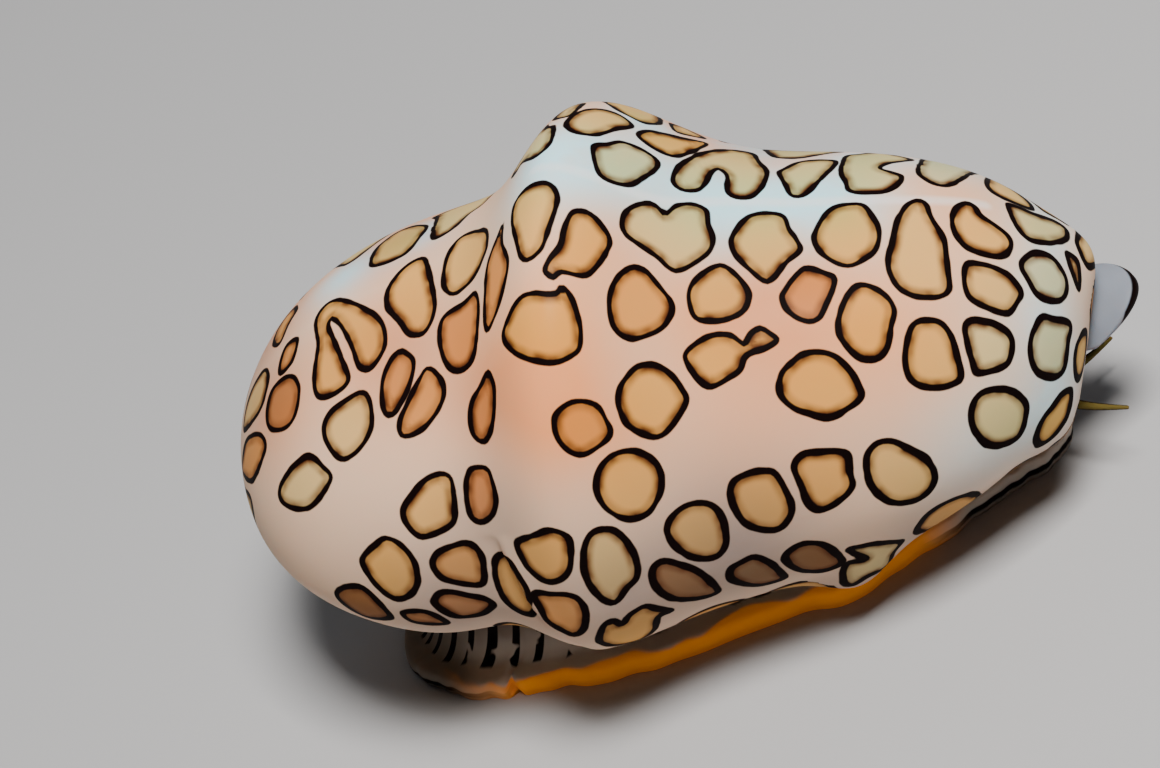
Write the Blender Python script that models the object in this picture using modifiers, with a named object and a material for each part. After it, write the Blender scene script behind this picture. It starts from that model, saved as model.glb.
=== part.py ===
# Flamingo tongue snail, life size, crawling.
#
# +X is toward the head, -Y is the snail's right side, +Z is up. The origin is on the floor under
# the middle of the shell. The mantle hides the shell, so it is modelled whole and then parted with
# thin cuts. The foot lies flat on the floor under it, and the head looks out of an opening in front.

import bpy
import bmesh
from math import atan2, cos, exp, hypot, pi, radians, sin, sqrt
from mathutils import Matrix, Vector
from mathutils.bvhtree import BVHTree

MM = 0.001
GAP = 0.3 * MM

# The body that the mantle covers, measured from the middle of the shell.
BODY_LENGTH = 30.0 * MM
BODY_MIDDLE = -0.15 * MM
BODY_HEIGHT_ABOVE_FLOOR = 7.2 * MM
NOSE_DOWN = radians(5.3)
REAR_HALF_WIDTH = 9.1 * MM
FRONT_HALF_WIDTH = 7.6 * MM
REAR_TOP = 8.15 * MM
FRONT_TOP = 7.6 * MM
REAR_BELLY = 5.15 * MM
FRONT_BELLY = 6.7 * MM
REAR_BLUNTNESS = 2.95
FRONT_BLUNTNESS = 2.55
REAR_LIFT = 0.2 * MM
FRONT_LIFT = 1.24 * MM
BLEND_OF_ENDS = 0.30
BELLY_HEIGHT = 1.6 * MM
BELLY_SOFTNESS = 0.2 * MM

# The ridge across the back and the valley behind it. Places and widths are shares of half the length.
RIDGE_PLACE = -0.118
RIDGE_LEAN = 0.033
RIDGE_SLANT = 0.121
RIDGE_STEEP_SIDE = 0.178
RIDGE_GENTLE_SIDE = 0.231
RIDGE_TOP = 3.3 * MM
RIDGE_SIDE = 1.2 * MM
RIDGE_BELLY = 0.25 * MM
VALLEY_PLACE = -0.265
VALLEY_WIDTH = 0.127
VALLEY_SIDE = 0.93 * MM
VALLEY_BELLY = 0.3 * MM

# Where the mantle is drawn out: the corner over the siphon, the hem below the middle of the right side
# and the hem at the right end of the opening. Each has its middle, its reach and its move.
DRAWN_OUT = (
    (Vector((14.9, 1.0, 8.0)) * MM, 1.5 * MM, Vector((0.6, 0.0, 0.0)) * MM),
    (Vector((5.0, -5.8, 2.9)) * MM, 1.5 * MM, Vector((0.0, -0.5, -0.6)) * MM),
    (Vector((13.0, -3.0, 4.4)) * MM, 1.6 * MM, Vector((0.25, -0.4, -0.5)) * MM),
)

# Where the body is parted across. The cuts slant as the ridge does.
CUT_SLANT = 0.2
VALLEY_CUT = -4.0 * MM
FRONT_CUT = 3.4 * MM

# The opening in front, through which the siphon and the head look out.
OPENING_CENTRE = Vector((16.3, 1.3, 3.9)) * MM
OPENING_RADII = Vector((4.8, 2.8, 2.9)) * MM

# The siphon, an arched lobe that lines the roof of the opening.
SIPHON_ROOT = 13.1 * MM
SIPHON_TIP = 16.6 * MM
SIPHON_SHOULDER = 2.5 * MM
SIPHON_LEAN = 0.1
SIPHON_NEAR_ANGLE = radians(-64)
SIPHON_FAR_ANGLE = radians(44)
SIPHON_THICKNESS = 0.6 * MM

# The head, with its short snout.
HEAD_CENTRE = Vector((11.1, 0.6, 2.4)) * MM
HEAD_RADII = Vector((2.0, 1.5, 1.0)) * MM
SNOUT_REACH = 0.45 * MM
SNOUT_NARROWING = 0.34
MOUTH_DEPTH = 0.25 * MM
MOUTH_WIDTH = 0.28 * MM

# The tentacles and eyes, right then left. Roots are found on the head's surface, along a direction
# from its middle.
TENTACLE_ROOT_RADIUS = 0.27 * MM
TENTACLE_TIP_RADIUS = 0.08 * MM
TENTACLE_LENGTH = 3.0 * MM
TENTACLE_SAG = 0.12 * MM
TENTACLE_POINTS = 9
TENTACLE_ROOT_TURN = {"right": radians(-35), "left": radians(32)}
TENTACLE_ROOT_RISE = {"right": radians(20), "left": radians(-12)}
TENTACLE_TURN = {"right": radians(-29), "left": radians(38)}
TENTACLE_RISE = {"right": radians(0), "left": radians(-6)}
EYE_RADIUS = 0.35 * MM
EYE_TURN = {"right": radians(-66), "left": radians(66)}
EYE_RISE = {"right": radians(34), "left": radians(28)}

# The foot. Its middle line bends a little to the snail's left, toward the head. Its right edge has a
# lobe that reaches out.
FOOT_REAR = -12.3 * MM
FOOT_FRONT = 13.0 * MM
FOOT_WIDEST_PLACE = -5.5 * MM
FOOT_HALF_WIDTH = 5.1 * MM
FOOT_REAR_HALF_WIDTH = 4.4 * MM
FOOT_FRONT_HALF_WIDTH = 2.2 * MM
FOOT_LOBE_PLACE = 4.2 * MM
FOOT_LOBE_LENGTH = 2.0 * MM
FOOT_LOBE_REACH = 0.8 * MM
FOOT_BLUNTNESS = 2.8
FOOT_LINE_REAR = -1.15 * MM
FOOT_LINE_FRONT = 1.0 * MM
FOOT_WAVE = 0.16 * MM
FOOT_WAVES = 5
FOOT_REAR_CUT = -5.6 * MM
FOOT_FRONT_CUT = 7.4 * MM
# How far in from the edge each step of the foot's upper side lies, and how high it rises.
FOOT_STEPS = ((0.0, 0.42), (0.12, 0.8), (0.9, 0.98), (1.45, 1.7), (1.95, 3.0), (2.5, 4.6), (3.1, 6.0))
SOLE_INSET = 0.1
# The steps across the middle of the upper side, as shares of the last step above.
FOOT_MIDDLE = (0.86, 0.70, 0.54, 0.36, 0.18)
PATCH = 0.5 * MM

MANTLE_AROUND = 60
MANTLE_ALONG = 46
FOOT_AROUND = 60
REACH = 60.0 * MM


def make_collection(name):
    """Add a collection to the scene."""
    collection = bpy.data.collections.new(name)
    bpy.context.scene.collection.children.link(collection)
    return collection


def make_material(name, color, roughness):
    """Make a plain wet-skin material."""
    material = bpy.data.materials.new(name)
    material.use_nodes = True
    shader = material.node_tree.nodes["Principled BSDF"]
    shader.inputs["Base Color"].default_value = (*color, 1.0)
    shader.inputs["Roughness"].default_value = roughness
    shader.inputs["Metallic"].default_value = 0.0
    material.diffuse_color = (*color, 1.0)
    return material


def add_object(name, bm, material, collection):
    """Turn a bmesh into a named object."""
    mesh = bpy.data.meshes.new(name)
    bm.to_mesh(mesh)
    bm.free()
    mesh.materials.append(material)
    mesh.shade_smooth()
    mesh.set_sharp_from_angle(angle=radians(50))
    obj = bpy.data.objects.new(name, mesh)
    collection.objects.link(obj)
    return obj


def add_cutter(name, bm):
    """Add a helper that only cuts other pieces."""
    obj = add_object(name, bm, cutter_material, cutters)
    obj.hide_render = True
    obj.display_type = "WIRE"
    return obj


def apply_boolean(obj, cutter, operation):
    """Cut or join one object with another, and keep the result as a plain mesh."""
    modifier = obj.modifiers.new("cut", "BOOLEAN")
    modifier.operation = operation
    modifier.solver = "EXACT"
    modifier.object = cutter
    bpy.context.view_layer.update()
    evaluated = obj.evaluated_get(bpy.context.evaluated_depsgraph_get())
    mesh = bpy.data.meshes.new_from_object(evaluated)
    obj.modifiers.clear()
    obj.data = mesh
    keep_largest(obj)


def keep_largest(obj):
    """Drop loose scraps: keep the closed surface with the most faces."""
    bm = bmesh.new()
    bm.from_mesh(obj.data)
    bmesh.ops.remove_doubles(bm, verts=bm.verts, dist=0.002 * MM)
    waiting = set(bm.faces)
    groups = []
    while waiting:
        group = {waiting.pop()}
        edge_of_group = list(group)
        while edge_of_group:
            face = edge_of_group.pop()
            for edge in face.edges:
                for other in edge.link_faces:
                    if other in waiting:
                        waiting.remove(other)
                        group.add(other)
                        edge_of_group.append(other)
        groups.append(group)
    groups.sort(key=len)
    scraps = [face for group in groups[:-1] for face in group]
    bmesh.ops.delete(bm, geom=scraps, context="FACES")
    bm.to_mesh(obj.data)
    bm.free()


def grown(bm, distance):
    """Copy a closed bmesh and move its surface outward."""
    copy = bm.copy()
    copy.normal_update()
    for vert in copy.verts:
        vert.co += vert.normal * distance
    return copy


def mix(low, high, share):
    """Blend two sizes."""
    return low + (high - low) * share


def body_point(along, around):
    """Place a point of the mantle: along runs -1 to 1 from tail to head, around turns about +X."""
    share = 1.0 / (1.0 + exp(-along / BLEND_OF_ENDS))
    bluntness = REAR_BLUNTNESS if along < 0 else FRONT_BLUNTNESS
    girth = sqrt(max(0.0, 1.0 - abs(along) ** bluntness))
    side = cos(around)
    rise = sin(around)
    up = max(rise, 0.0) ** 2
    down = max(-rise, 0.0) ** 2
    beside = 1.0 - up - down

    ridge_place = RIDGE_PLACE + RIDGE_LEAN * rise + RIDGE_SLANT * side
    from_ridge = along - ridge_place
    slope = RIDGE_STEEP_SIDE if from_ridge < 0 else RIDGE_GENTLE_SIDE
    ridge = exp(-((from_ridge / slope) ** 2))
    ridge *= RIDGE_TOP * up + RIDGE_SIDE * beside + RIDGE_BELLY * down

    valley_place = VALLEY_PLACE + RIDGE_LEAN * rise + RIDGE_SLANT * side
    valley = exp(-(((along - valley_place) / VALLEY_WIDTH) ** 2))
    valley *= VALLEY_SIDE * beside + VALLEY_BELLY * down

    swell = (ridge - valley) * sqrt(girth)
    half_width = mix(REAR_HALF_WIDTH, FRONT_HALF_WIDTH, share)
    top = mix(REAR_TOP, FRONT_TOP, share)
    belly = mix(REAR_BELLY, FRONT_BELLY, share)
    lift = REAR_LIFT if along < 0 else FRONT_LIFT
    x = BODY_MIDDLE + along * BODY_LENGTH / 2
    y = (half_width * girth + swell) * side
    z = ((top if rise > 0 else belly) * girth + swell) * rise + lift * along ** 2
    point = Matrix.Rotation(NOSE_DOWN, 3, "Y") @ Vector((x, y, z))
    point.z += BODY_HEIGHT_ABOVE_FLOOR
    over = (point.z - BELLY_HEIGHT) / BELLY_SOFTNESS
    if over < 20:
        point.z = BELLY_HEIGHT + BELLY_SOFTNESS * soft_step_up(over)
    moved = point.copy()
    for centre, reach, move in DRAWN_OUT:
        moved += move * exp(-(((point - centre).length / reach) ** 2))
    return moved


def soft_step_up(value):
    """Rise from 0 like a smooth corner, so the belly is flat without a crease."""
    return (value + sqrt(value * value + 1.0)) / 2


def mantle_bmesh():
    """Model the whole mantle: a sphere with its poles at tail and head, moved point by point."""
    bm = bmesh.new()
    bmesh.ops.create_uvsphere(bm, u_segments=MANTLE_AROUND, v_segments=MANTLE_ALONG, radius=1.0)
    for vert in bm.verts:
        along = vert.co.z
        around = atan2(vert.co.y, vert.co.x)
        vert.co = body_point(along, around)
    bmesh.ops.recalc_face_normals(bm, faces=bm.faces)
    return bm


def ball_bmesh(centre, radii, segments, rings):
    """Make a stretched ball with its poles along X."""
    bm = bmesh.new()
    bmesh.ops.create_uvsphere(bm, u_segments=segments, v_segments=rings, radius=1.0)
    for vert in bm.verts:
        across, high, along = vert.co
        vert.co = Vector((along * radii.x, across * radii.y, high * radii.z)) + centre
    bmesh.ops.recalc_face_normals(bm, faces=bm.faces)
    return bm


def head_bmesh():
    """Model the head: a broad neck that narrows to a blunt snout with a mouth slit."""
    bm = ball_bmesh(Vector((0, 0, 0)), Vector((1, 1, 1)), 28, 20)
    for vert in bm.verts:
        along = vert.co.x
        ahead = max(along, 0.0)
        narrow = 1.0 - SNOUT_NARROWING * ahead ** 2
        vert.co.x = along * HEAD_RADII.x + SNOUT_REACH * ahead ** 3
        vert.co.y *= HEAD_RADII.y * narrow
        vert.co.z *= HEAD_RADII.z * narrow
        dent = exp(-((vert.co.y / MOUTH_WIDTH) ** 2)) * ahead ** 6
        vert.co.x -= MOUTH_DEPTH * dent
        vert.co += HEAD_CENTRE
    bmesh.ops.recalc_face_normals(bm, faces=bm.faces)
    return bm


def siphon_bmesh():
    """Model the siphon: an arched sheet along the opening's roof, thickened inward."""
    across_steps = 18
    along_steps = 10
    radii = OPENING_RADII - Vector((GAP, GAP, GAP))
    bm = bmesh.new()
    bmesh.ops.create_grid(bm, x_segments=along_steps, y_segments=across_steps, size=1.0)
    for vert in bm.verts:
        along = (vert.co.x + 1) / 2
        across = vert.co.y
        angle = mix(SIPHON_NEAR_ANGLE, SIPHON_FAR_ANGLE, (across + 1) / 2)
        x = mix(SIPHON_ROOT, SIPHON_TIP - SIPHON_SHOULDER * (across + SIPHON_LEAN) ** 2, along)
        girth = sqrt(max(0.0, 1.0 - ((x - OPENING_CENTRE.x) / radii.x) ** 2))
        y = OPENING_CENTRE.y + radii.y * girth * sin(angle)
        z = OPENING_CENTRE.z + radii.z * girth * cos(angle)
        vert.co = Vector((x, y, z))
    bmesh.ops.recalc_face_normals(bm, faces=bm.faces)
    middle = min(bm.faces, key=lambda face: abs(face.calc_center_median().y - OPENING_CENTRE.y))
    if middle.normal.z < 0:
        bmesh.ops.reverse_faces(bm, faces=bm.faces)
    return bm


def add_siphon():
    """Give the siphon's sheet its thickness."""
    obj = add_object("siphon", siphon_bmesh(), siphon_material, snail)
    solidify = obj.modifiers.new("thickness", "SOLIDIFY")
    solidify.thickness = SIPHON_THICKNESS
    solidify.offset = -1.0
    solidify.use_even_offset = True
    return obj


def foot_line(x):
    """Give the y of the foot's middle line."""
    return mix(FOOT_LINE_REAR, FOOT_LINE_FRONT, (x - FOOT_REAR) / (FOOT_FRONT - FOOT_REAR))


def foot_edge_point(turn, inset):
    """Place a point of the foot's outline, moved in from the edge."""
    half_length = (FOOT_FRONT - FOOT_REAR) / 2 - inset
    ahead = cos(turn)
    beside = sin(turn)
    x = abs(ahead) ** (2 / FOOT_BLUNTNESS) * (1 if ahead > 0 else -1)
    x = (FOOT_FRONT + FOOT_REAR) / 2 + half_length * x
    end, end_width = (FOOT_REAR, FOOT_REAR_HALF_WIDTH)
    if x > FOOT_WIDEST_PLACE:
        end, end_width = (FOOT_FRONT, FOOT_FRONT_HALF_WIDTH)
    from_widest = (x - FOOT_WIDEST_PLACE) / (end - FOOT_WIDEST_PLACE)
    width = mix(FOOT_HALF_WIDTH, end_width, from_widest ** 2) - inset
    wave = FOOT_WAVE * sin(2 * FOOT_WAVES * turn) * max(0.0, 1.0 - inset / MM)
    if beside < 0:
        wave += FOOT_LOBE_REACH * exp(-(((x - FOOT_LOBE_PLACE) / FOOT_LOBE_LENGTH) ** 2))
    y = (width + wave) * abs(beside) ** (2 / FOOT_BLUNTNESS) * (1 if beside > 0 else -1)
    return x, y + foot_line(x)


def foot_bmesh(belly):
    """Model the whole foot: flat below, a thin edge, and walls that rise to the belly."""
    outer = len(FOOT_STEPS)
    levels = outer + len(FOOT_MIDDLE)
    last_inset, last_height = FOOT_STEPS[-1]
    middle = (FOOT_FRONT + FOOT_REAR) / 2
    bm = bmesh.new()
    bmesh.ops.create_uvsphere(bm, u_segments=FOOT_AROUND, v_segments=2 * levels, radius=1.0)
    for vert in bm.verts:
        turn = atan2(vert.co.y, vert.co.x)
        level = round(atan2(vert.co.z, hypot(vert.co.x, vert.co.y)) * 2 * levels / pi)
        share = 1.0
        height = 0.0
        inset = last_inset
        if 0 <= level < outer:
            inset, height = FOOT_STEPS[level]
        elif level >= outer:
            height = last_height
            share = FOOT_MIDDLE[level - outer] if level < levels else 0.0
        else:
            inset = SOLE_INSET
            share = 1.0 + (level + 1) / (levels - 1)
        x, y = foot_edge_point(turn, inset * MM)
        x = mix(middle, x, share)
        y = mix(foot_line(middle), y, share)
        if height > 0:
            height = min(height * MM, belly_height(belly, x, y) - GAP)
        vert.co = Vector((x, y, height))
    bmesh.ops.recalc_face_normals(bm, faces=bm.faces)
    return bm


def belly_height(belly, x, y):
    """Find the lowest point of what lies over a small patch of the floor: the mantle or the head."""
    heights = [REACH]
    for step_x in (-PATCH, 0, PATCH):
        for step_y in (-PATCH, 0, PATCH):
            for tree in belly:
                start = Vector((x + step_x, y + step_y, -MM))
                hit = tree.ray_cast(start, Vector((0, 0, 1)))[0]
                if hit is not None:
                    heights.append(hit.z)
    return min(heights)


def block_bmesh(low_x, high_x, low_y, high_y, slant):
    """Make a block between two slanted planes, for keeping one length of the body."""
    bm = bmesh.new()
    bmesh.ops.create_cube(bm, size=2.0)
    for vert in bm.verts:
        y = high_y if vert.co.y > 0 else low_y
        x = (high_x if vert.co.x > 0 else low_x) + slant * y
        vert.co = Vector((x, y, vert.co.z * REACH))
    return bm


def part_across(obj, names, cuts, slant):
    """Keep one copy of a whole object for each length between the cuts."""
    edges = [-REACH, *cuts, REACH]
    pieces = []
    for name, low, high in zip(names, edges[:-1], edges[1:]):
        piece = bpy.data.objects.new(name, obj.data.copy())
        snail.objects.link(piece)
        block = block_bmesh(low + GAP / 2, high - GAP / 2, -REACH, REACH, slant)
        cutter = add_cutter("block_" + name, block)
        apply_boolean(piece, cutter, "INTERSECT")
        bpy.data.objects.remove(cutter)
        pieces.append(piece)
    return pieces


def slice_off(bm, x, ahead):
    """Cut a closed bmesh flat at one x, drop the side that lies ahead of it or behind it, and cap it."""
    everything = bm.verts[:] + bm.edges[:] + bm.faces[:]
    flat = Vector((x, 0, 0))
    normal = Vector((ahead, 0, 0))
    bmesh.ops.bisect_plane(bm, geom=everything, plane_co=flat, plane_no=normal, clear_outer=True)
    rim = [edge for edge in bm.edges if edge.is_boundary]
    if rim:
        bmesh.ops.edgeloop_fill(bm, edges=rim)
    bmesh.ops.recalc_face_normals(bm, faces=bm.faces)


def part_along(obj, low_y, high_y, name):
    """Keep one side of a whole object."""
    side = bpy.data.objects.new(name, obj.data.copy())
    snail.objects.link(side)
    cutter = add_cutter("block_" + name, block_bmesh(-REACH, REACH, low_y, high_y, 0.0))
    apply_boolean(side, cutter, "INTERSECT")
    bpy.data.objects.remove(cutter)
    return side


def direction(turn, rise):
    """Give a direction: turned from +X toward +Y, and raised."""
    return Vector((cos(turn) * cos(rise), sin(turn) * cos(rise), sin(rise)))


def add_tentacle(side, head_tree):
    """Lay a tapering tentacle from the head's surface forward and outward."""
    name = "tentacle_" + side
    outward = direction(TENTACLE_ROOT_TURN[side], TENTACLE_ROOT_RISE[side])
    toward = direction(TENTACLE_TURN[side], TENTACLE_RISE[side])
    root = head_tree.ray_cast(HEAD_CENTRE, outward)[0]
    root += outward * (GAP + TENTACLE_ROOT_RADIUS * outward.cross(toward).length)
    curve = bpy.data.curves.new(name, "CURVE")
    curve.dimensions = "3D"
    curve.bevel_depth = 1.0
    curve.bevel_resolution = 3
    curve.use_fill_caps = True
    spline = curve.splines.new("POLY")
    spline.points.add(TENTACLE_POINTS - 1)
    for index, point in enumerate(spline.points):
        share = index / (TENTACLE_POINTS - 1)
        place = root + toward * TENTACLE_LENGTH * share
        place.z -= TENTACLE_SAG * sin(pi * share)
        point.co = (*place, 1.0)
        point.radius = mix(TENTACLE_ROOT_RADIUS, TENTACLE_TIP_RADIUS, share)
    bent = bpy.data.objects.new(name + "_curve", curve)
    snail.objects.link(bent)
    bpy.context.view_layer.update()
    mesh = bpy.data.meshes.new_from_object(bent.evaluated_get(bpy.context.evaluated_depsgraph_get()))
    bpy.data.objects.remove(bent)
    bm = bmesh.new()
    bm.from_mesh(mesh)
    bmesh.ops.remove_doubles(bm, verts=bm.verts, dist=0.001 * MM)
    bmesh.ops.recalc_face_normals(bm, faces=bm.faces)
    return add_object(name, bm, tentacle_material, snail)


def add_eye(side, head, head_tree):
    """Set an eye in a socket beside a tentacle's root."""
    name = "eye_" + side
    centre = head_tree.ray_cast(HEAD_CENTRE, direction(EYE_TURN[side], EYE_RISE[side]))[0]
    size = Vector((EYE_RADIUS, EYE_RADIUS, EYE_RADIUS))
    socket_size = size + Vector((GAP, GAP, GAP))
    cutter = add_cutter("socket_" + name, ball_bmesh(centre, socket_size, 16, 12))
    apply_boolean(head, cutter, "DIFFERENCE")
    bpy.data.objects.remove(cutter)
    return add_object(name, ball_bmesh(centre, size, 14, 10), eye_material, snail)


for old in list(bpy.data.objects):
    bpy.data.objects.remove(old)

snail = make_collection("flamingo_tongue_snail")
cutters = make_collection("cutters")
mantle_material = make_material("mantle_skin", (0.86, 0.66, 0.50), 0.25)
siphon_material = make_material("siphon_skin", (0.55, 0.54, 0.56), 0.30)
head_material = make_material("head_skin", (0.42, 0.33, 0.20), 0.35)
tentacle_material = make_material("tentacle_skin", (0.25, 0.20, 0.05), 0.35)
eye_material = make_material("eye", (0.01, 0.01, 0.01), 0.10)
foot_material = make_material("foot_skin", (0.45, 0.38, 0.30), 0.35)
cutter_material = make_material("cutter", (0.5, 0.5, 0.5), 0.5)

whole_head = head_bmesh()
head_tree = BVHTree.FromBMesh(whole_head)
head_room = add_cutter("head_room", grown(whole_head, GAP))
opening = add_cutter("opening", ball_bmesh(OPENING_CENTRE, OPENING_RADII, 36, 24))

whole_mantle = mantle_bmesh()
mantle_tree = BVHTree.FromBMesh(whole_mantle)
mantle = add_object("whole_mantle", whole_mantle, mantle_material, snail)
apply_boolean(mantle, opening, "DIFFERENCE")
apply_boolean(mantle, head_room, "DIFFERENCE")
for side_name, low_side, high_side in (("right", -REACH, -GAP / 2), ("left", GAP / 2, REACH)):
    half = part_along(mantle, low_side, high_side, "mantle_" + side_name)
    names = ["mantle_%s_%s" % (side_name, length) for length in ("rear", "hump", "front")]
    part_across(half, names, (VALLEY_CUT, FRONT_CUT), CUT_SLANT)
    bpy.data.objects.remove(half)
bpy.data.objects.remove(mantle)

foot_edges = (-REACH, FOOT_REAR_CUT, FOOT_FRONT_CUT, REACH)
for name, low, high in zip(("foot_rear", "foot_middle", "foot_front"), foot_edges[:-1], foot_edges[1:]):
    length = foot_bmesh([mantle_tree, head_tree])
    slice_off(length, low + GAP / 2, -1)
    slice_off(length, high - GAP / 2, 1)
    add_object(name, length, foot_material, snail)

head = add_object("head", whole_head, head_material, snail)
add_siphon()
for side in ("right", "left"):
    add_tentacle(side, head_tree)
    add_eye(side, head, head_tree)
bpy.data.objects.remove(head_room)
bpy.data.objects.remove(opening)

for piece in snail.objects:
    faces = sum(len(polygon.vertices) - 2 for polygon in piece.data.polygons)
    print(piece.name, faces)
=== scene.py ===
# %% [markdown]
# # A flamingo tongue snail, life size
# This sea snail is about 3 cm long. Its shell has a high ridge across the back, but none of it
# shows: the mantle, a soft flap of skin, is spread over all of it, and the spots belong to the skin.
# A flat foot lies under it, and a siphon, a head and two tentacles look out in front.
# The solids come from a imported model. This script puts one living skin over them.

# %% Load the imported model
from math import cos, pi, radians, sin

import bmesh
import bpy
import numpy as np
from mathutils import Matrix, Vector
from mathutils.bvhtree import BVHTree


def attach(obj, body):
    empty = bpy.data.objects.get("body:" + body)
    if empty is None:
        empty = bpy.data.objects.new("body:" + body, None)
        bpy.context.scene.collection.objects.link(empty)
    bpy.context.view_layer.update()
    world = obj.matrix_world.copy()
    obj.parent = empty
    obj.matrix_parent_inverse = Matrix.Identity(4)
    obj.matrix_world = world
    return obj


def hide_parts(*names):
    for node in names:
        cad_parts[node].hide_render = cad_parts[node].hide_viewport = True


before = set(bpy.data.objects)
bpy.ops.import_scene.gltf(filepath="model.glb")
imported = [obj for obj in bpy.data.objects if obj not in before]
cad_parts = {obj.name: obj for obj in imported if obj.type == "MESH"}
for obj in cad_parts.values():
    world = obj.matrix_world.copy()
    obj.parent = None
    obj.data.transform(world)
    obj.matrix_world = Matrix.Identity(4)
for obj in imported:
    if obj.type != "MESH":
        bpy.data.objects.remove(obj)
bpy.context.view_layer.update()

MM = 0.001


def add_object(name, data):
    """Put an object with this data into the scene."""
    made = bpy.data.objects.new(name, data)
    bpy.context.scene.collection.objects.link(made)
    return made



# %% [markdown]
# ## The camera
# The camera comes first, because the spots are placed through it. It looks down on the snail's
# right side with a long lens, and it is rolled, because the animal was climbing when it was seen
# and here it lies on a level floor.

# %% Camera
PHOTO_SIZE = np.array((1160, 768))
LENS = 100.0
SENSOR = 36.0
VIEW_TURN = radians(14.2)
VIEW_RISE = radians(38.6)
VIEW_ROLL = radians(24.4)
VIEW_DISTANCE = 111.6
VIEW_TARGET = np.array((-2.63, 0.0, 8.99))


def camera_axes():
    """Give the camera's right, up and backward directions."""
    back = np.array((sin(VIEW_TURN) * cos(VIEW_RISE), -cos(VIEW_TURN) * cos(VIEW_RISE), sin(VIEW_RISE)))
    right = np.array((cos(VIEW_TURN), sin(VIEW_TURN), 0.0))
    up = np.cross(back, right)
    rolled_right = right * cos(VIEW_ROLL) - up * sin(VIEW_ROLL)
    rolled_up = right * sin(VIEW_ROLL) + up * cos(VIEW_ROLL)
    return rolled_right, rolled_up, back


RIGHT, UP, BACK = camera_axes()
EYE = VIEW_TARGET + BACK * VIEW_DISTANCE
camera_data = bpy.data.cameras.new("camera")
camera_data.lens = LENS
camera_data.sensor_width = SENSOR
camera_data.clip_start = 1 * MM
camera = add_object("camera", camera_data)
camera.matrix_world = Matrix.Translation(EYE * MM) @ Matrix(np.column_stack((RIGHT, UP, BACK))).to_4x4()
bpy.context.scene.camera = camera
print("camera at", EYE.round(1), "mm")

# %% [markdown]
# A spot is measured as a place in the picture. These helpers go both ways between a place in the
# picture and a direction in space.

# %% Between the picture and space
PIXELS_PER_SLOPE = PHOTO_SIZE[0] * LENS / SENSOR
PHOTO_MIDDLE = PHOTO_SIZE / 2


def ray_through(pixel):
    """Give the direction from the camera through one place in the picture."""
    across, down = (np.array(pixel) - PHOTO_MIDDLE) / PIXELS_PER_SLOPE
    ray = RIGHT * across - UP * down - BACK
    return ray / np.linalg.norm(ray)


def in_picture(points):
    """Give the places in the picture of points in space."""
    from_target = points - VIEW_TARGET
    depth = VIEW_DISTANCE - from_target @ BACK
    across = from_target @ RIGHT / depth
    down = -(from_target @ UP) / depth
    return PHOTO_MIDDLE + PIXELS_PER_SLOPE * np.column_stack((across, down))


# %% [markdown]
# ## The mantle's form
# The form is the same rule that made the solids: an egg with different ends, a ridge with a steep
# side toward the tail and a gentle side toward the head, and a valley behind it. The rule takes a
# place along the body and a turn about it. Here it works on whole lists of places at once, so the
# skin can be far finer than the solids. Pairs of values are for the tail end and the head end, and
# threes for the top, the sides and the belly. In three places the skin is drawn out a little: each
# row gives the middle, the reach and the move. All sizes are in millimetres.

# %% The rule of the body
BODY_LENGTH = 30.0
BODY_MIDDLE = -0.15
BODY_HEIGHT_ABOVE_FLOOR = 7.2
NOSE_DOWN = radians(5.3)
HALF_WIDTH = (9.1, 7.6)
TOP = (8.15, 7.6)
BELLY = (5.15, 6.7)
BLUNTNESS = (2.95, 2.55)
LIFT = (0.2, 1.24)
BLEND_OF_ENDS = 0.30
BELLY_HEIGHT = 1.6
BELLY_SOFTNESS = 0.2
RIDGE_PLACE = -0.118
RIDGE_LEAN = 0.033
RIDGE_SLANT = 0.121
RIDGE_SLOPES = (0.178, 0.231)
RIDGE_SWELL = (3.3, 1.2, 0.25)
VALLEY_PLACE = -0.265
VALLEY_WIDTH = 0.127
VALLEY_DEPTH = (0.0, 0.93, 0.3)
DRAWN_OUT = (
    ((14.9, 1.0, 8.0), 1.5, (0.6, 0.0, 0.0)),
    ((5.0, -5.8, 2.9), 1.5, (0.0, -0.5, -0.6)),
    ((13.0, -3.0, 4.4), 1.6, (0.25, -0.4, -0.5)),
)
OPENING_CENTRE = np.array((16.3, 1.3, 3.9))
OPENING_RADII = np.array((4.8, 2.8, 2.9))
LIP_SOFTNESS = 0.12


def bump(distance, width):
    """Make a smooth hump that fades on both sides."""
    return np.exp(-((distance / width) ** 2))


def soft_larger(a, b, softness):
    """Take the larger of two values, with the corner between them rounded."""
    return (a + b + np.sqrt((a - b) ** 2 + softness ** 2)) / 2


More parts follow.
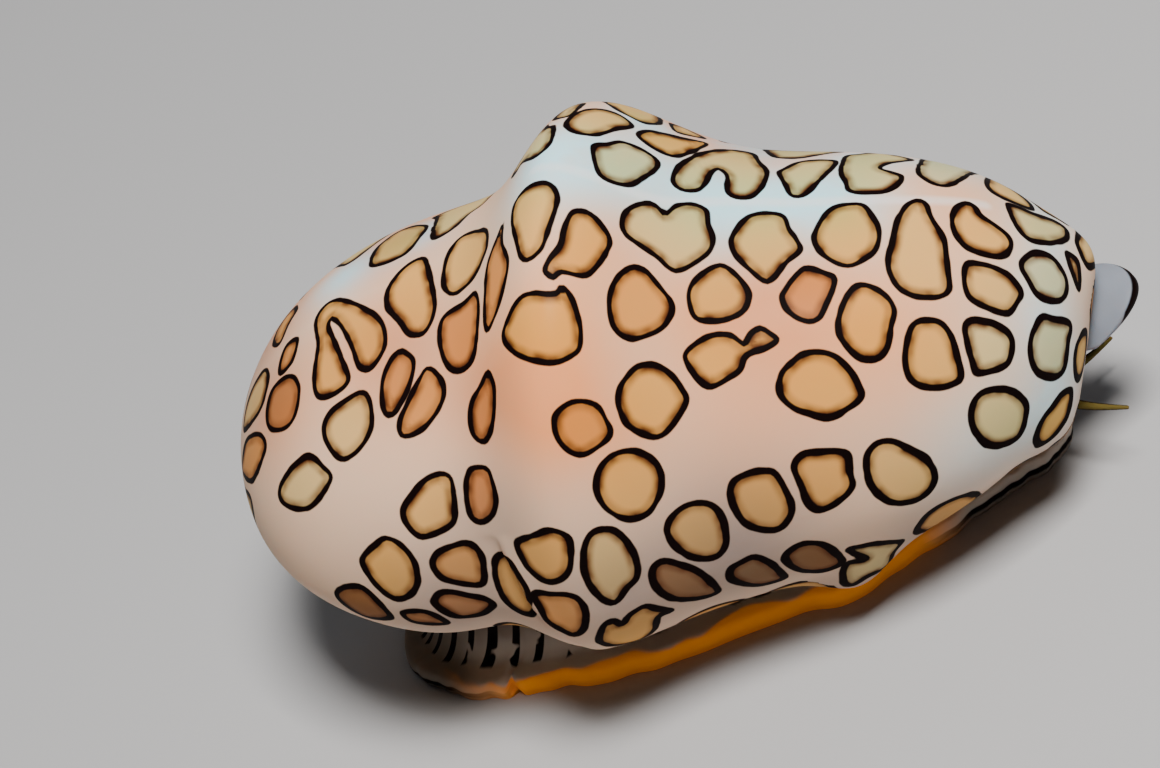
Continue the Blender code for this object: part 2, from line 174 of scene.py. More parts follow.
def body_points(along, around):
    """Place points of the mantle: along runs -1 to 1 from tail to head, around turns about +X."""
    share = 1.0 / (1.0 + np.exp(-along / BLEND_OF_ENDS))
    ahead = along >= 0
    bluntness = np.where(ahead, BLUNTNESS[1], BLUNTNESS[0])
    girth = np.sqrt(np.maximum(0.0, 1.0 - np.abs(along) ** bluntness))
    side = np.cos(around)
    rise = np.sin(around)
    up = np.maximum(rise, 0.0) ** 2
    down = np.maximum(-rise, 0.0) ** 2
    parts = np.array((up, 1.0 - up - down, down))
    lean = RIDGE_LEAN * rise + RIDGE_SLANT * side
    from_ridge = along - RIDGE_PLACE - lean
    slope = np.where(from_ridge < 0, *RIDGE_SLOPES)
    swell = bump(from_ridge, slope) * np.tensordot(RIDGE_SWELL, parts, 1)
    swell -= bump(along - VALLEY_PLACE - lean, VALLEY_WIDTH) * np.tensordot(VALLEY_DEPTH, parts, 1)
    swell *= np.sqrt(girth)
    half_width = HALF_WIDTH[0] + (HALF_WIDTH[1] - HALF_WIDTH[0]) * share
    top = TOP[0] + (TOP[1] - TOP[0]) * share
    belly = BELLY[0] + (BELLY[1] - BELLY[0]) * share
    x = BODY_MIDDLE + along * BODY_LENGTH / 2
    y = (half_width * girth + swell) * side
    z = (np.where(rise > 0, top, belly) * girth + swell) * rise
    z = z + np.where(ahead, LIFT[1], LIFT[0]) * along ** 2
    x, z = (
        x * cos(NOSE_DOWN) + z * sin(NOSE_DOWN),
        z * cos(NOSE_DOWN) - x * sin(NOSE_DOWN) + BODY_HEIGHT_ABOVE_FLOOR,
    )
    points = np.column_stack((x, y, soft_larger(z, BELLY_HEIGHT, BELLY_SOFTNESS)))
    moved = points.copy()
    for centre, reach, move in DRAWN_OUT:
        moved += bump(np.linalg.norm(points - centre, axis=1), reach)[:, None] * move
    return moved


def open_front(points):
    """Push in the skin where the siphon and the head look out, with a soft lip around the hollow."""
    from_centre = (points - OPENING_CENTRE) / OPENING_RADII
    across = np.minimum(1.0, from_centre[:, 1] ** 2 + from_centre[:, 2] ** 2)
    wall = OPENING_CENTRE[0] - OPENING_RADII[0] * np.sqrt(1.0 - across)
    opened = points.copy()
    opened[:, 0] = -soft_larger(-points[:, 0], -wall, LIP_SOFTNESS)
    return np.where((across < 1.0)[:, None], opened, points)


# %% [markdown]
# The skin is a net of rings from tail to head. Its points lie close and evenly, because the
# outlines of the spots are drawn on them, and only the belly over the foot has fewer. The two ends
# are closed with triangles round one point.

# %% The net of the mantle
AROUND_STEPS = 400
RING_COUNT = 244
SPACING_TURN = radians(150)
FINE_STEPS = 4001
BELLY_SHARE = 0.35
BELLY_TURN = -0.5


def ring_net(rings, steps):
    """Give the faces of a closed net: rings of points, then one point for each end."""
    corner = np.arange(rings * steps).reshape(rings, steps)
    turned = np.roll(corner, -1, axis=1)
    walls = np.stack((corner[:-1], turned[:-1], turned[1:], corner[1:]), axis=-1).reshape(-1, 4)
    first = [(rings * steps, b, a) for a, b in zip(corner[0], turned[0])]
    last = [(rings * steps + 1, a, b) for a, b in zip(corner[-1], turned[-1])]
    return walls.tolist() + first + last


def net_places(rings, turns):
    """Give the place along and the turn of each point of a closed net, with its two ends last."""
    along, around = np.meshgrid(rings, turns, indexing="ij")
    return np.append(along.ravel(), (-1.0, 1.0)), np.append(around.ravel(), (0.0, 0.0))


def mesh_object(name, points, faces):
    """Make an object from points in millimetres and faces, with every face pointing outward."""
    mesh = bpy.data.meshes.new(name)
    mesh.from_pydata((np.asarray(points) * MM).tolist(), [], faces)
    net = bmesh.new()
    net.from_mesh(mesh)
    bmesh.ops.recalc_face_normals(net, faces=net.faces)
    net.to_mesh(mesh)
    net.free()
    mesh.shade_smooth()
    return add_object(name, mesh)


def even_places(values, points, weights, shares):
    """Pick values at shares of the way along the points that they give, with stretches weighted."""
    steps = np.linalg.norm(np.diff(points, axis=0), axis=1) * weights
    run = np.append(0.0, np.cumsum(steps))
    return np.interp(shares * run[-1], run, values)


fine_along = np.sin(np.linspace(-pi / 2, pi / 2, FINE_STEPS))
fine_turns = np.linspace(-pi, pi, FINE_STEPS)
profile = body_points(fine_along, np.full(FINE_STEPS, SPACING_TURN))
section = body_points(np.zeros(FINE_STEPS), fine_turns)
rings = even_places(fine_along, profile, 1.0, np.linspace(0.0, 1.0, RING_COUNT + 2)[1:-1])
in_belly = (section[1:, 2] < 2 * BELLY_HEIGHT) & (np.sin(fine_turns[1:]) < BELLY_TURN)
spacing = np.where(in_belly, BELLY_SHARE, 1.0)
turns = even_places(fine_turns, section, spacing, np.arange(AROUND_STEPS) / AROUND_STEPS)
skin_along, skin_around = net_places(rings, turns)
skin_points = open_front(body_points(skin_along, skin_around))
mantle = mesh_object("mantle_skin", skin_points, ring_net(RING_COUNT, AROUND_STEPS))


def point_normals(piece):
    """Read the direction in which each point of a mesh faces."""
    normals = np.zeros(len(piece.data.vertices) * 3, np.float32)
    piece.data.vertex_normals.foreach_get("vector", normals)
    return normals.reshape(-1, 3)


skin_normals = point_normals(mantle)
print("mantle", len(skin_points), "points, top at", skin_points[:, 2].max().round(2), "mm")

# %% [markdown]
# A place in the picture is sent out as a ray from the camera until it meets the skin, so what is
# measured in the picture lies on the body and not on a flat picture.

# %% From the picture onto the skin
CURVE_STEPS = 5
OUT_OF_SIGHT = 1e6


class Skin:
    """The mantle's surface, as something that rays and points can find."""

    def __init__(self, piece, points):
        self.tree = BVHTree.FromObject(piece, bpy.context.evaluated_depsgraph_get())
        self.points = points
        self.in_picture = in_picture(points)
        self.hidden = np.where(point_normals(piece) @ BACK > 0, 0.0, OUT_OF_SIGHT)


def on_skin(pixel):
    """Find the point of the skin at one place in the picture, or the nearest one on its edge."""
    hit = skin.tree.ray_cast(Vector(EYE * MM), Vector(ray_through(pixel)))[0]
    if hit is not None:
        return np.array(hit) / MM
    return skin.points[np.argmin(((skin.in_picture - pixel) ** 2).sum(axis=1) + skin.hidden)]


def nearest_on_skin(point):
    """Find the point of the skin that is nearest to a point in space."""
    return np.array(skin.tree.find_nearest(Vector(point * MM))[0]) / MM


def curve_point(before, start, end, beyond, share):
    """Give a place between start and end on a smooth curve, shaped by the points on both sides."""
    return 0.5 * (
        2 * start
        + (end - before) * share
        + (2 * before - 5 * start + 4 * end - beyond) * share ** 2
        + (3 * start - before - 3 * end + beyond) * share ** 3
    )


def smooth_between(*corners):
    """Run a smooth curve from each start to its end, with the points on both sides given too."""
    pieces = [curve_point(*corners, share) for share in np.arange(CURVE_STEPS) / CURVE_STEPS]
    return np.stack(pieces, axis=1).reshape(-1, 3)


def smooth_loop(points):
    """Run a smooth closed curve through some points."""
    points = np.array(points)
    return smooth_between(*(np.roll(points, shift, axis=0) for shift in (1, 0, -1, -2)))


def smooth_path(points):
    """Run a smooth open curve through some points."""
    points = np.array([points[0], *points, points[-1]])
    return np.vstack((smooth_between(points[:-3], points[1:-2], points[2:-1], points[3:]), points[-1]))


def along_path(points, path):
    """Give each point's distance from an open path, its nearest place on it and its share of the way."""
    stretch = np.diff(path, axis=0)
    from_start = points[:, None] - path[:-1]
    share = np.clip((from_start * stretch).sum(axis=2) / (stretch ** 2).sum(axis=1), 0.0, 1.0)
    distances = np.linalg.norm(from_start - share[..., None] * stretch, axis=2)
    best = distances.argmin(axis=1)
    rows = np.arange(len(points))
    nearest = path[best] + share[rows, best, None] * stretch[best]
    return distances[rows, best], nearest, (best + share[rows, best]) / len(stretch), stretch[best]


skin = Skin(mantle, skin_points)
print("the nose is at", on_skin((1085, 300)).round(1), "mm")

# %% [markdown]
# At the lower end of the valley the front part of the skin laps over the rear part in a short, sharp
# fold. The skin in front of the fold is lifted, and the skin behind it is sunk.

# %% The fold
FOLD_PLACES = (
    (496, 536), (503, 553), (513, 571), (524, 592), (536, 610), (556, 629), (580, 644), (606, 651),
)
FOLD_LIFT = 0.16
FOLD_SINK = 0.2
FOLD_REACH = 0.55
FOLD_SHARPNESS = 0.07
FOLD_FULLNESS = 0.7
FOLD_ROOM = 5.0


def fold_skin(points, normals):
    """Lift and sink the points beside the fold."""
    path = smooth_path([on_skin(place) for place in FOLD_PLACES])
    near = np.where(np.linalg.norm(points - path.mean(axis=0), axis=1) < FOLD_ROOM)[0]
    distance, nearest, share, stretch = along_path(points[near], path)
    in_front = ((points[near] - nearest) * np.cross(normals[near], stretch)).sum(axis=1) > 0
    signed = np.where(in_front, distance, -distance)
    height = np.where(in_front, FOLD_LIFT, FOLD_SINK) * np.tanh(signed / FOLD_SHARPNESS)
    height *= bump(distance, FOLD_REACH) * np.sin(pi * np.clip(share, 0.0, 1.0)) ** FOLD_FULLNESS
    folded = points.copy()
    folded[near] += normals[near] * height[:, None]
    return folded


skin_points = fold_skin(skin_points, skin_normals)
mantle.data.vertices.foreach_set("co", (skin_points * MM).astype(np.float32).ravel())
mantle.data.update()
skin_normals = point_normals(mantle)
skin = Skin(mantle, skin_points)
print("fold laid from", on_skin(FOLD_PLACES[0]).round(1), "to", on_skin(FOLD_PLACES[-1]).round(1), "mm")

# %% [markdown]
# ## The spots
# Each spot is a cell of colour with a black line round it. The lines are smooth but irregular, and
# several have a slit, a notch or a bay. They are measured in the picture: each row names a
# spot and gives the few places where its line turns, with a smooth curve between them. A spot on
# the horizon shows only its near line, so its row also says how many millimetres it goes on
# behind. The number before the places is its tint: 0 is pale cream, 1 orange and 2 brown.

# %% Spots on the rear of the body
# Tints above 1 turn a cell brown; that brown on the low spots near the hem and the tail is painted shade.
REAR_SPOTS = {
    "slit, left lobe": (0.5, ((341, 300), (327, 304), (316, 320), (318, 345), (314, 378), (318, 396),
        (332, 395), (348, 381), (343, 362), (333, 338), (328, 326), (333, 317), (348, 311))),
    "slit, right lobe": (0.5, ((340, 300), (331, 306), (328, 316), (337, 321), (346, 334), (353, 350),
        (360, 367), (372, 367), (385, 345), (381, 322), (362, 307))),
    "high leaf": (0.3, ((371, 265), (375, 251), (386, 240), (404, 229), (426, 226), (419, 238),
        (407, 252), (395, 259), (382, 264))),
    "high oval": (0.45, ((423, 258), (409, 264), (394, 279), (387, 293), (388, 308), (401, 323),
        (409, 334), (422, 334), (431, 322), (435, 305), (432, 286), (428, 268))),
    "crest oval": (0.4, ((486, 231), (473, 232), (460, 238), (450, 251), (444, 270), (444, 286),
        (452, 294), (465, 287), (475, 275), (482, 260), (487, 245))),
    "valley oval": (0.9, ((474, 293), (464, 303), (447, 314), (440, 327), (441, 350), (449, 367),
        (460, 371), (471, 362), (476, 343), (478, 318), (478, 300))),
    "left twin": (0.85, ((400, 351), (391, 360), (383, 379), (382, 402), (387, 415), (396, 411),
        (406, 393), (413, 372), (413, 360), (407, 354))),
    "right twin": (0.8, ((428, 368), (419, 380), (408, 402), (400, 421), (401, 435), (412, 435),
        (427, 425), (439, 408), (444, 392), (440, 378))),
    "valley tall": (0.95, ((488, 372), (481, 385), (472, 402), (470, 420), (474, 436), (483, 442),
        (490, 433), (494, 412), (494, 388))),
    "valley low": (1.0, ((479, 467), (470, 470), (466, 483), (467, 502), (472, 518), (483, 522),
        (493, 514), (496, 500), (493, 484), (488, 470))),
    "tail small": (0.8, ((297, 339), (296, 349), (291, 363), (280, 374), (281, 360), (287, 345))),
    "tail round": (1.3, ((292, 376), (280, 381), (271, 393), (267, 412), (269, 427), (279, 430),
        (290, 424), (297, 408), (299, 388))),
    "tail tip": (0.8, ((257, 434), (247, 440), (243, 456), (243, 472), (251, 481), (258, 470), (265, 450),
        (264, 439))),
    "tail corner": (0.25, ((310, 456), (299, 461), (288, 473), (280, 488), (281, 500), (292, 508),
        (308, 508), (320, 497), (331, 478), (322, 466))),
    "side pear": (0.3, ((361, 392), (348, 399), (331, 412), (324, 427), (328, 445), (341, 459),
        (355, 453), (367, 438), (372, 420), (369, 399))),
    "low bell": (0.4, ((438, 474), (425, 480), (412, 494), (403, 511), (408, 526), (421, 537), (438, 532),
        (453, 523), (455, 507), (452, 482), (447, 475))),
    "low large": (0.45, ((386, 538), (374, 546), (362, 560), (370, 577), (385, 593), (398, 599),
        (411, 594), (418, 581), (414, 562), (402, 546))),
    "low loaf": (0.7, ((467, 543), (450, 547), (436, 554), (433, 566), (444, 579), (465, 584), (482, 584),
        (484, 568), (479, 551))),
    "hem wing": (1.7, ((355, 586), (340, 589), (337, 596), (348, 607), (367, 617), (390, 618), (383, 607),
        (366, 590))),
    "hem loaf": (1.3, ((453, 592), (440, 593), (434, 602), (444, 611), (460, 617), (482, 614), (493, 605),
        (486, 599), (470, 596))),
    "hem sliver": (1.3, ((403, 613), (418, 611), (432, 614), (447, 623), (428, 624), (411, 621))),
    "fold leaf": (0.5, ((500, 555), (495, 563), (497, 582), (505, 600), (518, 611), (533, 613),
        (529, 596), (518, 575), (508, 560))),
}
REAR_EDGE_SPOTS = {
    "rear top near": (0.2, 1.2, ((334, 266), (344, 265), (354, 260), (367, 250), (379, 241), (390, 234))),
    "rear top far": (0.2, 1.2, ((437, 219), (433, 237), (443, 235), (457, 225), (470, 213), (485, 202),
        (498, 190))),
    "tail high": (0.6, 1.4, ((317, 280), (311, 288), (302, 298))),
    "tail middle": (0.6, 1.4, ((296, 311), (289, 323), (283, 337), (278, 345))),
    "tail near": (0.3, 1.1, ((268, 374), (267, 387), (262, 405), (255, 418), (247, 428))),
    "tail low": (0.3, 1.2, ((243, 488), (250, 496), (253, 510), (257, 527), (258, 538))),
}
print(len(REAR_SPOTS) + len(REAR_EDGE_SPOTS), "spots on the rear")

# %% Spots on the ridge and the middle of the body
MIDDLE_SPOTS = {
    "crown": (0.15, ((594, 146), (608, 144), (622, 142), (641, 149), (657, 160), (655, 170), (641, 179),
        (629, 185), (612, 182), (600, 175), (594, 159))),
    "crown back": (0.3, ((566, 124), (575, 114), (592, 109), (609, 111), (623, 117), (632, 126),
        (616, 129), (604, 133), (591, 135), (574, 132))),
    "crown far": (0.35, ((604, 101), (616, 109), (631, 117), (645, 123), (660, 123), (657, 113),
        (646, 104), (632, 100), (617, 99))),
    "crown front": (0.45, ((638, 135), (647, 131), (662, 133), (682, 138), (706, 143), (698, 149),
        (683, 155), (672, 156), (659, 151), (646, 143))),
    "crown chip": (0.3, ((671, 124), (679, 126), (690, 130), (704, 138), (688, 135), (675, 131))),
    "arch": (0.22, ((673, 182), (676, 170), (686, 161), (706, 152), (730, 150), (751, 153), (759, 162),
        (767, 172), (762, 187), (750, 197), (735, 197), (727, 191), (727, 176), (719, 169), (711, 173),
        (705, 184), (697, 190), (682, 190))),
    "heart": (0.25, ((650, 203), (634, 206), (623, 216), (624, 232), (640, 245), (656, 256), (668, 267),
        (678, 271), (693, 264), (709, 252), (713, 238), (708, 224), (706, 210), (693, 204), (678, 205),
        (665, 214), (659, 208))),
    "diamond": (0.35, ((764, 213), (750, 216), (738, 227), (731, 241), (735, 254), (749, 269), (764, 281),
        (773, 278), (786, 263), (800, 250), (796, 239), (789, 229), (785, 218), (777, 214))),
    "triangle": (0.2, ((779, 173), (785, 184), (791, 195), (801, 196), (812, 188), (832, 168), (835, 161),
        (818, 160), (800, 162), (786, 168))),
    "back long": (0.1, ((766, 150), (773, 156), (783, 158), (807, 157), (842, 152), (820, 148),
        (800, 147), (782, 148))),
    "ridge tall": (0.4, ((540, 183), (526, 189), (515, 203), (512, 220), (516, 240), (520, 256),
        (528, 260), (541, 249), (549, 227), (557, 202), (555, 190), (549, 184))),
    "ridge boot": (0.5, ((573, 212), (565, 226), (560, 245), (549, 260), (545, 271), (553, 277),
        (562, 272), (584, 276), (598, 265), (610, 242), (602, 226), (589, 213))),
    "ridge blade": (0.85, ((503, 223), (497, 238), (488, 263), (485, 292), (486, 329), (494, 318),
        (502, 293), (508, 262), (502, 243))),
    "ridge great": (0.45, ((533, 293), (519, 299), (509, 316), (503, 335), (510, 349), (523, 357),
        (537, 361), (553, 363), (568, 358), (579, 349), (581, 331), (576, 309), (569, 294), (562, 287),
        (557, 293), (546, 294))),
    "middle high": (0.65, ((633, 267), (622, 273), (613, 285), (609, 303), (613, 325), (624, 337),
        (640, 338), (662, 328), (672, 312), (670, 300), (658, 285), (646, 271))),
    "middle round": (0.4, ((689, 300), (691, 286), (703, 273), (720, 265), (734, 273), (746, 287),
        (749, 298), (743, 311), (728, 319), (710, 321), (695, 317))),
    "small square": (0.9, ((807, 268), (797, 274), (786, 289), (782, 298), (789, 312), (805, 321),
        (818, 319), (826, 305), (835, 280), (825, 273))),
    "peanut": (0.43, ((685, 357), (689, 349), (701, 340), (715, 335), (730, 335), (739, 341), (745, 344),
        (750, 334), (760, 328), (770, 333), (777, 340), (766, 348), (753, 352), (745, 357), (740, 370),
        (726, 380), (711, 387), (700, 381), (690, 368))),
    "middle five": (0.45, ((648, 364), (634, 369), (621, 386), (618, 404), (627, 424), (643, 434),
        (657, 437), (670, 428), (686, 403), (682, 390), (672, 376), (661, 367))),
    "middle orange": (0.75, ((581, 401), (566, 405), (555, 416), (555, 431), (563, 446), (577, 455),
        (592, 451), (610, 435), (606, 420), (597, 406))),
    "wide oval": (0.45, ((820, 352), (803, 354), (791, 363), (781, 375), (780, 393), (792, 407),
        (811, 414), (828, 418), (844, 411), (861, 398), (859, 386), (850, 371), (836, 357))),
    "near great": (0.45, ((628, 451), (611, 456), (599, 470), (596, 486), (602, 503), (615, 515),
        (632, 519), (648, 513), (659, 496), (662, 480), (657, 464), (644, 454))),
    "near quarter": (0.5, ((551, 530), (535, 535), (518, 542), (520, 554), (530, 570), (545, 581),
        (559, 580), (569, 571), (571, 552), (568, 537))),
    "near egg": (0.28, ((603, 529), (590, 535), (584, 550), (584, 572), (592, 588), (604, 600),
        (616, 602), (627, 588), (637, 577), (636, 560), (628, 543), (615, 531))),
    "hem slant": (0.8, ((534, 594), (550, 594), (568, 595), (580, 601), (586, 614), (584, 628),
        (575, 635), (560, 629), (548, 622), (541, 610))),
    "hem curl": (0.5, ((599, 640), (603, 627), (612, 621), (623, 624), (630, 615), (645, 606), (657, 609),
        (671, 611), (658, 617), (654, 630), (641, 640), (620, 645), (604, 644))),
    "near round": (0.4, ((698, 503), (683, 507), (671, 518), (667, 532), (675, 546), (689, 556),
        (705, 559), (719, 555), (726, 543), (725, 528), (720, 514), (711, 505))),
    "hem leaf": (1.7, ((666, 561), (655, 566), (652, 578), (661, 592), (677, 599), (700, 598), (718, 592),
        (709, 580), (697, 571), (682, 565))),
    "near square": (0.45, ((765, 471), (749, 473), (735, 480), (730, 492), (735, 508), (745, 523),
        (760, 529), (778, 529), (788, 520), (792, 508), (786, 491), (776, 474))),
    "near shield": (0.5, ((803, 454), (820, 452), (838, 451), (848, 456), (850, 471), (852, 486),
        (843, 498), (822, 510), (809, 504), (802, 488), (794, 467))),
    "near broad": (0.35, ((891, 441), (876, 444), (867, 456), (867, 472), (873, 488), (886, 500),
        (903, 503), (921, 498), (933, 485), (934, 471), (924, 457), (908, 448))),
    "hem bean": (1.8, ((754, 557), (742, 562), (731, 569), (731, 579), (744, 584), (762, 585), (784, 578),
        (776, 568), (765, 560))),
    "hem eye": (1.8, ((811, 543), (797, 546), (785, 556), (791, 566), (804, 571), (822, 571), (842, 563),
        (836, 553), (824, 545))),
    "hem notch": (0.2, ((849, 549), (862, 546), (880, 543), (901, 542), (893, 554), (887, 566),
        (868, 576), (848, 586), (843, 574), (848, 563), (866, 559), (855, 554))),
}
MIDDLE_EDGE_SPOTS = {
    "ridge rear": (0.2, 1.0, ((547, 128), (553, 127), (552, 139), (544, 150), (533, 158), (522, 163),
        (515, 174))),
    "ridge rear top": (0.2, 1.0, ((582, 105), (571, 115), (557, 119))),
    "back edge": (0.1, 1.4, ((723, 142), (738, 145), (755, 147), (768, 146))),
}
print(len(MIDDLE_SPOTS) + len(MIDDLE_EDGE_SPOTS), "spots on the ridge and middle")

# %% Spots on the front of the body
FRONT_SPOTS = {
    "tall pear": (0.35, ((918, 200), (907, 205), (898, 219), (892, 242), (888, 265), (897, 286),
        (914, 296), (938, 297), (949, 289), (948, 270), (946, 252), (943, 237), (931, 217), (926, 204))),
    "round high": (0.4, ((850, 204), (835, 207), (824, 216), (814, 236), (819, 250), (832, 261),
        (848, 266), (863, 260), (876, 249), (879, 230), (872, 216), (863, 205))),
    "bay": (0.18, ((847, 156), (841, 171), (845, 181), (850, 191), (870, 193), (887, 191), (899, 183),
        (901, 176), (891, 172), (880, 168), (890, 163), (911, 160), (898, 156), (880, 153), (862, 154))),
    "slanted oval": (0.4, ((966, 203), (956, 208), (952, 221), (957, 237), (968, 248), (986, 255),
        (1003, 256), (1011, 246), (1007, 235), (992, 223), (980, 215), (975, 207))),
    "wedge": (0.2, ((1008, 205), (1012, 217), (1020, 231), (1031, 240), (1050, 243), (1066, 239),
        (1065, 228), (1052, 220), (1034, 214), (1018, 207))),
    "block": (0.35, ((967, 264), (964, 278), (968, 295), (979, 304), (996, 311), (1009, 313), (1018, 301),
        (1021, 292), (1011, 277), (998, 269), (981, 264))),
    "front oval": (0.1, ((1034, 253), (1023, 260), (1022, 269), (1029, 281), (1036, 293), (1046, 300),
        (1059, 301), (1066, 293), (1066, 279), (1058, 264), (1048, 255))),
    "long oval": (0.45, ((866, 285), (853, 288), (845, 300), (839, 318), (839, 334), (849, 349),
        (863, 359), (879, 358), (888, 346), (891, 327), (894, 309), (885, 295))),
    "bell": (0.4, ((926, 320), (914, 324), (908, 337), (905, 357), (909, 377), (921, 386), (938, 388),
        (953, 384), (961, 376), (957, 355), (951, 336), (941, 323))),
    "crooked square": (0.2, ((972, 320), (965, 326), (967, 343), (972, 361), (977, 373), (992, 371),
        (1006, 365), (1011, 355), (1012, 341), (1005, 330), (988, 322))),
    "tall square": (0.12, ((1042, 317), (1033, 332), (1030, 350), (1034, 367), (1044, 376), (1058, 376),
        (1065, 366), (1068, 343), (1071, 327), (1066, 321), (1055, 319))),
    "round low": (0.22, ((998, 389), (983, 392), (974, 402), (971, 418), (976, 433), (988, 445),
        (1003, 445), (1018, 437), (1025, 420), (1026, 404), (1014, 392))),
    "hem front": (0.6, ((917, 531), (924, 518), (938, 507), (957, 498), (973, 494), (981, 501),
        (965, 514), (945, 525), (930, 532))),
    "lip low": (0.5, ((1071, 391), (1062, 394), (1053, 406), (1042, 421), (1036, 437), (1040, 445),
        (1050, 439), (1061, 427), (1069, 411))),
    "lip thin": (0.3, ((1067, 253), (1070, 266), (1075, 280), (1079, 289), (1080, 276), (1077, 261))),
    "far thin": (0.35, ((989, 177), (987, 184), (994, 193), (1010, 201), (1032, 209), (1024, 198),
        (1012, 187), (1000, 179))),
}
FRONT_EDGE_SPOTS = {
    "back bowl": (0.1, 1.0, ((923, 158), (918, 170), (925, 179), (938, 185), (950, 185), (963, 178),
        (981, 165))),
    "lip corner": (0.3, 1.0, ((1078, 233), (1077, 242), (1082, 256), (1088, 266), (1095, 265))),
    "lip side": (0.4, 0.9, ((1083, 333), (1077, 345), (1075, 361), (1076, 376))),
    "hem low": (0.7, 0.9, ((995, 489), (1001, 479), (1013, 469), (1031, 459))),
}
print(len(FRONT_SPOTS) + len(FRONT_EDGE_SPOTS), "spots on the front")

# %% [markdown]
# A spot on the horizon is closed by points that step back from the camera along the skin. A smooth
# curve then joins the points of each spot.

# %% Lay the spots on the skin
SIDE_SHARE = 0.6


def close_behind(points, reach):
    """Add the points that close a spot behind the horizon."""
    first, last = points[0], points[-1]
    away = BACK * reach
    hidden = (last - away * SIDE_SHARE, (first + last) / 2 - away, first - away * SIDE_SHARE)
    return points + [nearest_on_skin(point) for point in hidden]


spots = []
for rows in (REAR_SPOTS, MIDDLE_SPOTS, FRONT_SPOTS):
    for tint, places in rows.values():
        spots.append((tint, smooth_loop([on_skin(place) for place in places])))
for rows in (REAR_EDGE_SPOTS, MIDDLE_EDGE_SPOTS, FRONT_EDGE_SPOTS):
    for tint, reach, places in rows.values():
        spots.append((tint, smooth_loop(close_behind([on_skin(place) for place in places], reach))))
print(len(spots), "spots laid on the skin")

# %% [markdown]
# The skin's points now learn how far they are from the lines, below zero inside a spot. The
# distance is measured in space, so a line keeps its real thickness where the body turns away. The
# material later draws the line, the soft edge inside it and the colour of the cell from it. Spots
# that are close together go into different sets, and each set keeps a distance of its own, so the
# narrow strips of skin between lines stay clean.

# %% Distance from the lines
FAR = 3.0
SET_COUNT = 3
SET_ROOM = 1.1
LINE_ROOM = 1.0
TINY = 1e-12


def flat_axes(points):
    """Find two directions in the plane that fits a loop of points best."""
    centred = points - points.mean(axis=0)
    return np.linalg.svd(centred, full_matrices=False)[2][:2]


def inside_loop(points, loop):
    """Say which flat points lie inside a flat loop, by counting the lines they cross."""
    start, end = loop, np.roll(loop, -1, axis=0)
    spans = (start[:, 1] > points[:, 1, None]) != (end[:, 1] > points[:, 1, None])
    rise = np.where(end[:, 1] == start[:, 1], TINY, end[:, 1] - start[:, 1])
    crossing = start[:, 0] + (end[:, 0] - start[:, 0]) * (points[:, 1, None] - start[:, 1]) / rise
    return (spans & (points[:, 0, None] < crossing)).sum(axis=1) % 2 == 1


def distance_to_loop(points, loop):
    """Measure each point's distance to the nearest stretch of a loop."""
    stretch = np.roll(loop, -1, axis=0) - loop
    from_start = points[:, None] - loop
    length = np.maximum((stretch ** 2).sum(axis=1), TINY)
    share = np.clip((from_start * stretch).sum(axis=2) / length, 0.0, 1.0)
    return np.linalg.norm(from_start - share[..., None] * stretch, axis=2).min(axis=1)


def choose_sets():
    """Give each spot a set, so that close neighbours are in different sets."""
    chosen = []
    for index, (_, loop) in enumerate(spots):
        room = np.full(SET_COUNT, FAR)
        for other in range(index):
            gap = np.linalg.norm(loop[:, None] - spots[other][1][None], axis=2).min()
            room[chosen[other]] = min(room[chosen[other]], gap)
        free = np.where(room >= SET_ROOM)[0]
        chosen.append(int(free[0]) if len(free) else int(room.argmax()))
    return chosen


lines = np.full((len(skin_points), SET_COUNT), FAR)
tint = np.zeros(len(skin_points))
for set_index, (spot_tint, loop) in zip(choose_sets(), spots):
    centre = loop.mean(axis=0)
    reach = np.linalg.norm(loop - centre, axis=1).max() + LINE_ROOM
    near = np.where(np.linalg.norm(skin_points - centre, axis=1) < reach)[0]
    axes = flat_axes(loop)
    distance = distance_to_loop(skin_points[near], loop)
    inside = inside_loop((skin_points[near] - centre) @ axes.T, (loop - centre) @ axes.T)
    outside_others = lines[near].min(axis=1) > 0
    closer = distance < np.abs(lines[near]).min(axis=1)
    tint[near[inside | (closer & outside_others)]] = spot_tint
    lines[near, set_index] = np.minimum(lines[near, set_index], np.where(inside, -distance, distance))
print("share of the skin inside spots", (lines.min(axis=1) < 0).mean().round(3))

# %% [markdown]
# ## The side that the picture doesn't show
# The far side and the underside carry the same kind of spots. They are grown like cells: seeds are
# strewn with room between them, and each spot fills the room up to its neighbours with an even strip
# of skin between. The draw has a fixed seed, so it is the same each time.

# %% Grow spots on the hidden side
HIDDEN_SEED = 11
SEED_ROOM = 2.4
SEED_ROOM_SHARES = (0.85, 0.3)
SEED_ROOM_AT_SPOTS = 1.25
SEED_TINTS = (0.05, 0.75)
SKIN_STRIP = 0.5
CELL_ROUNDNESS = 0.16
CELL_LARGEST = (0.95, 1.5)
CELL_ROOM_AT_SPOTS = 0.45
HORIZON = 0.04
HORIZON_OVERLAP = 0.3
NEIGHBOURS = 8
HEM_HEIGHT = 1.9
BELLY_ROOM = 0.05

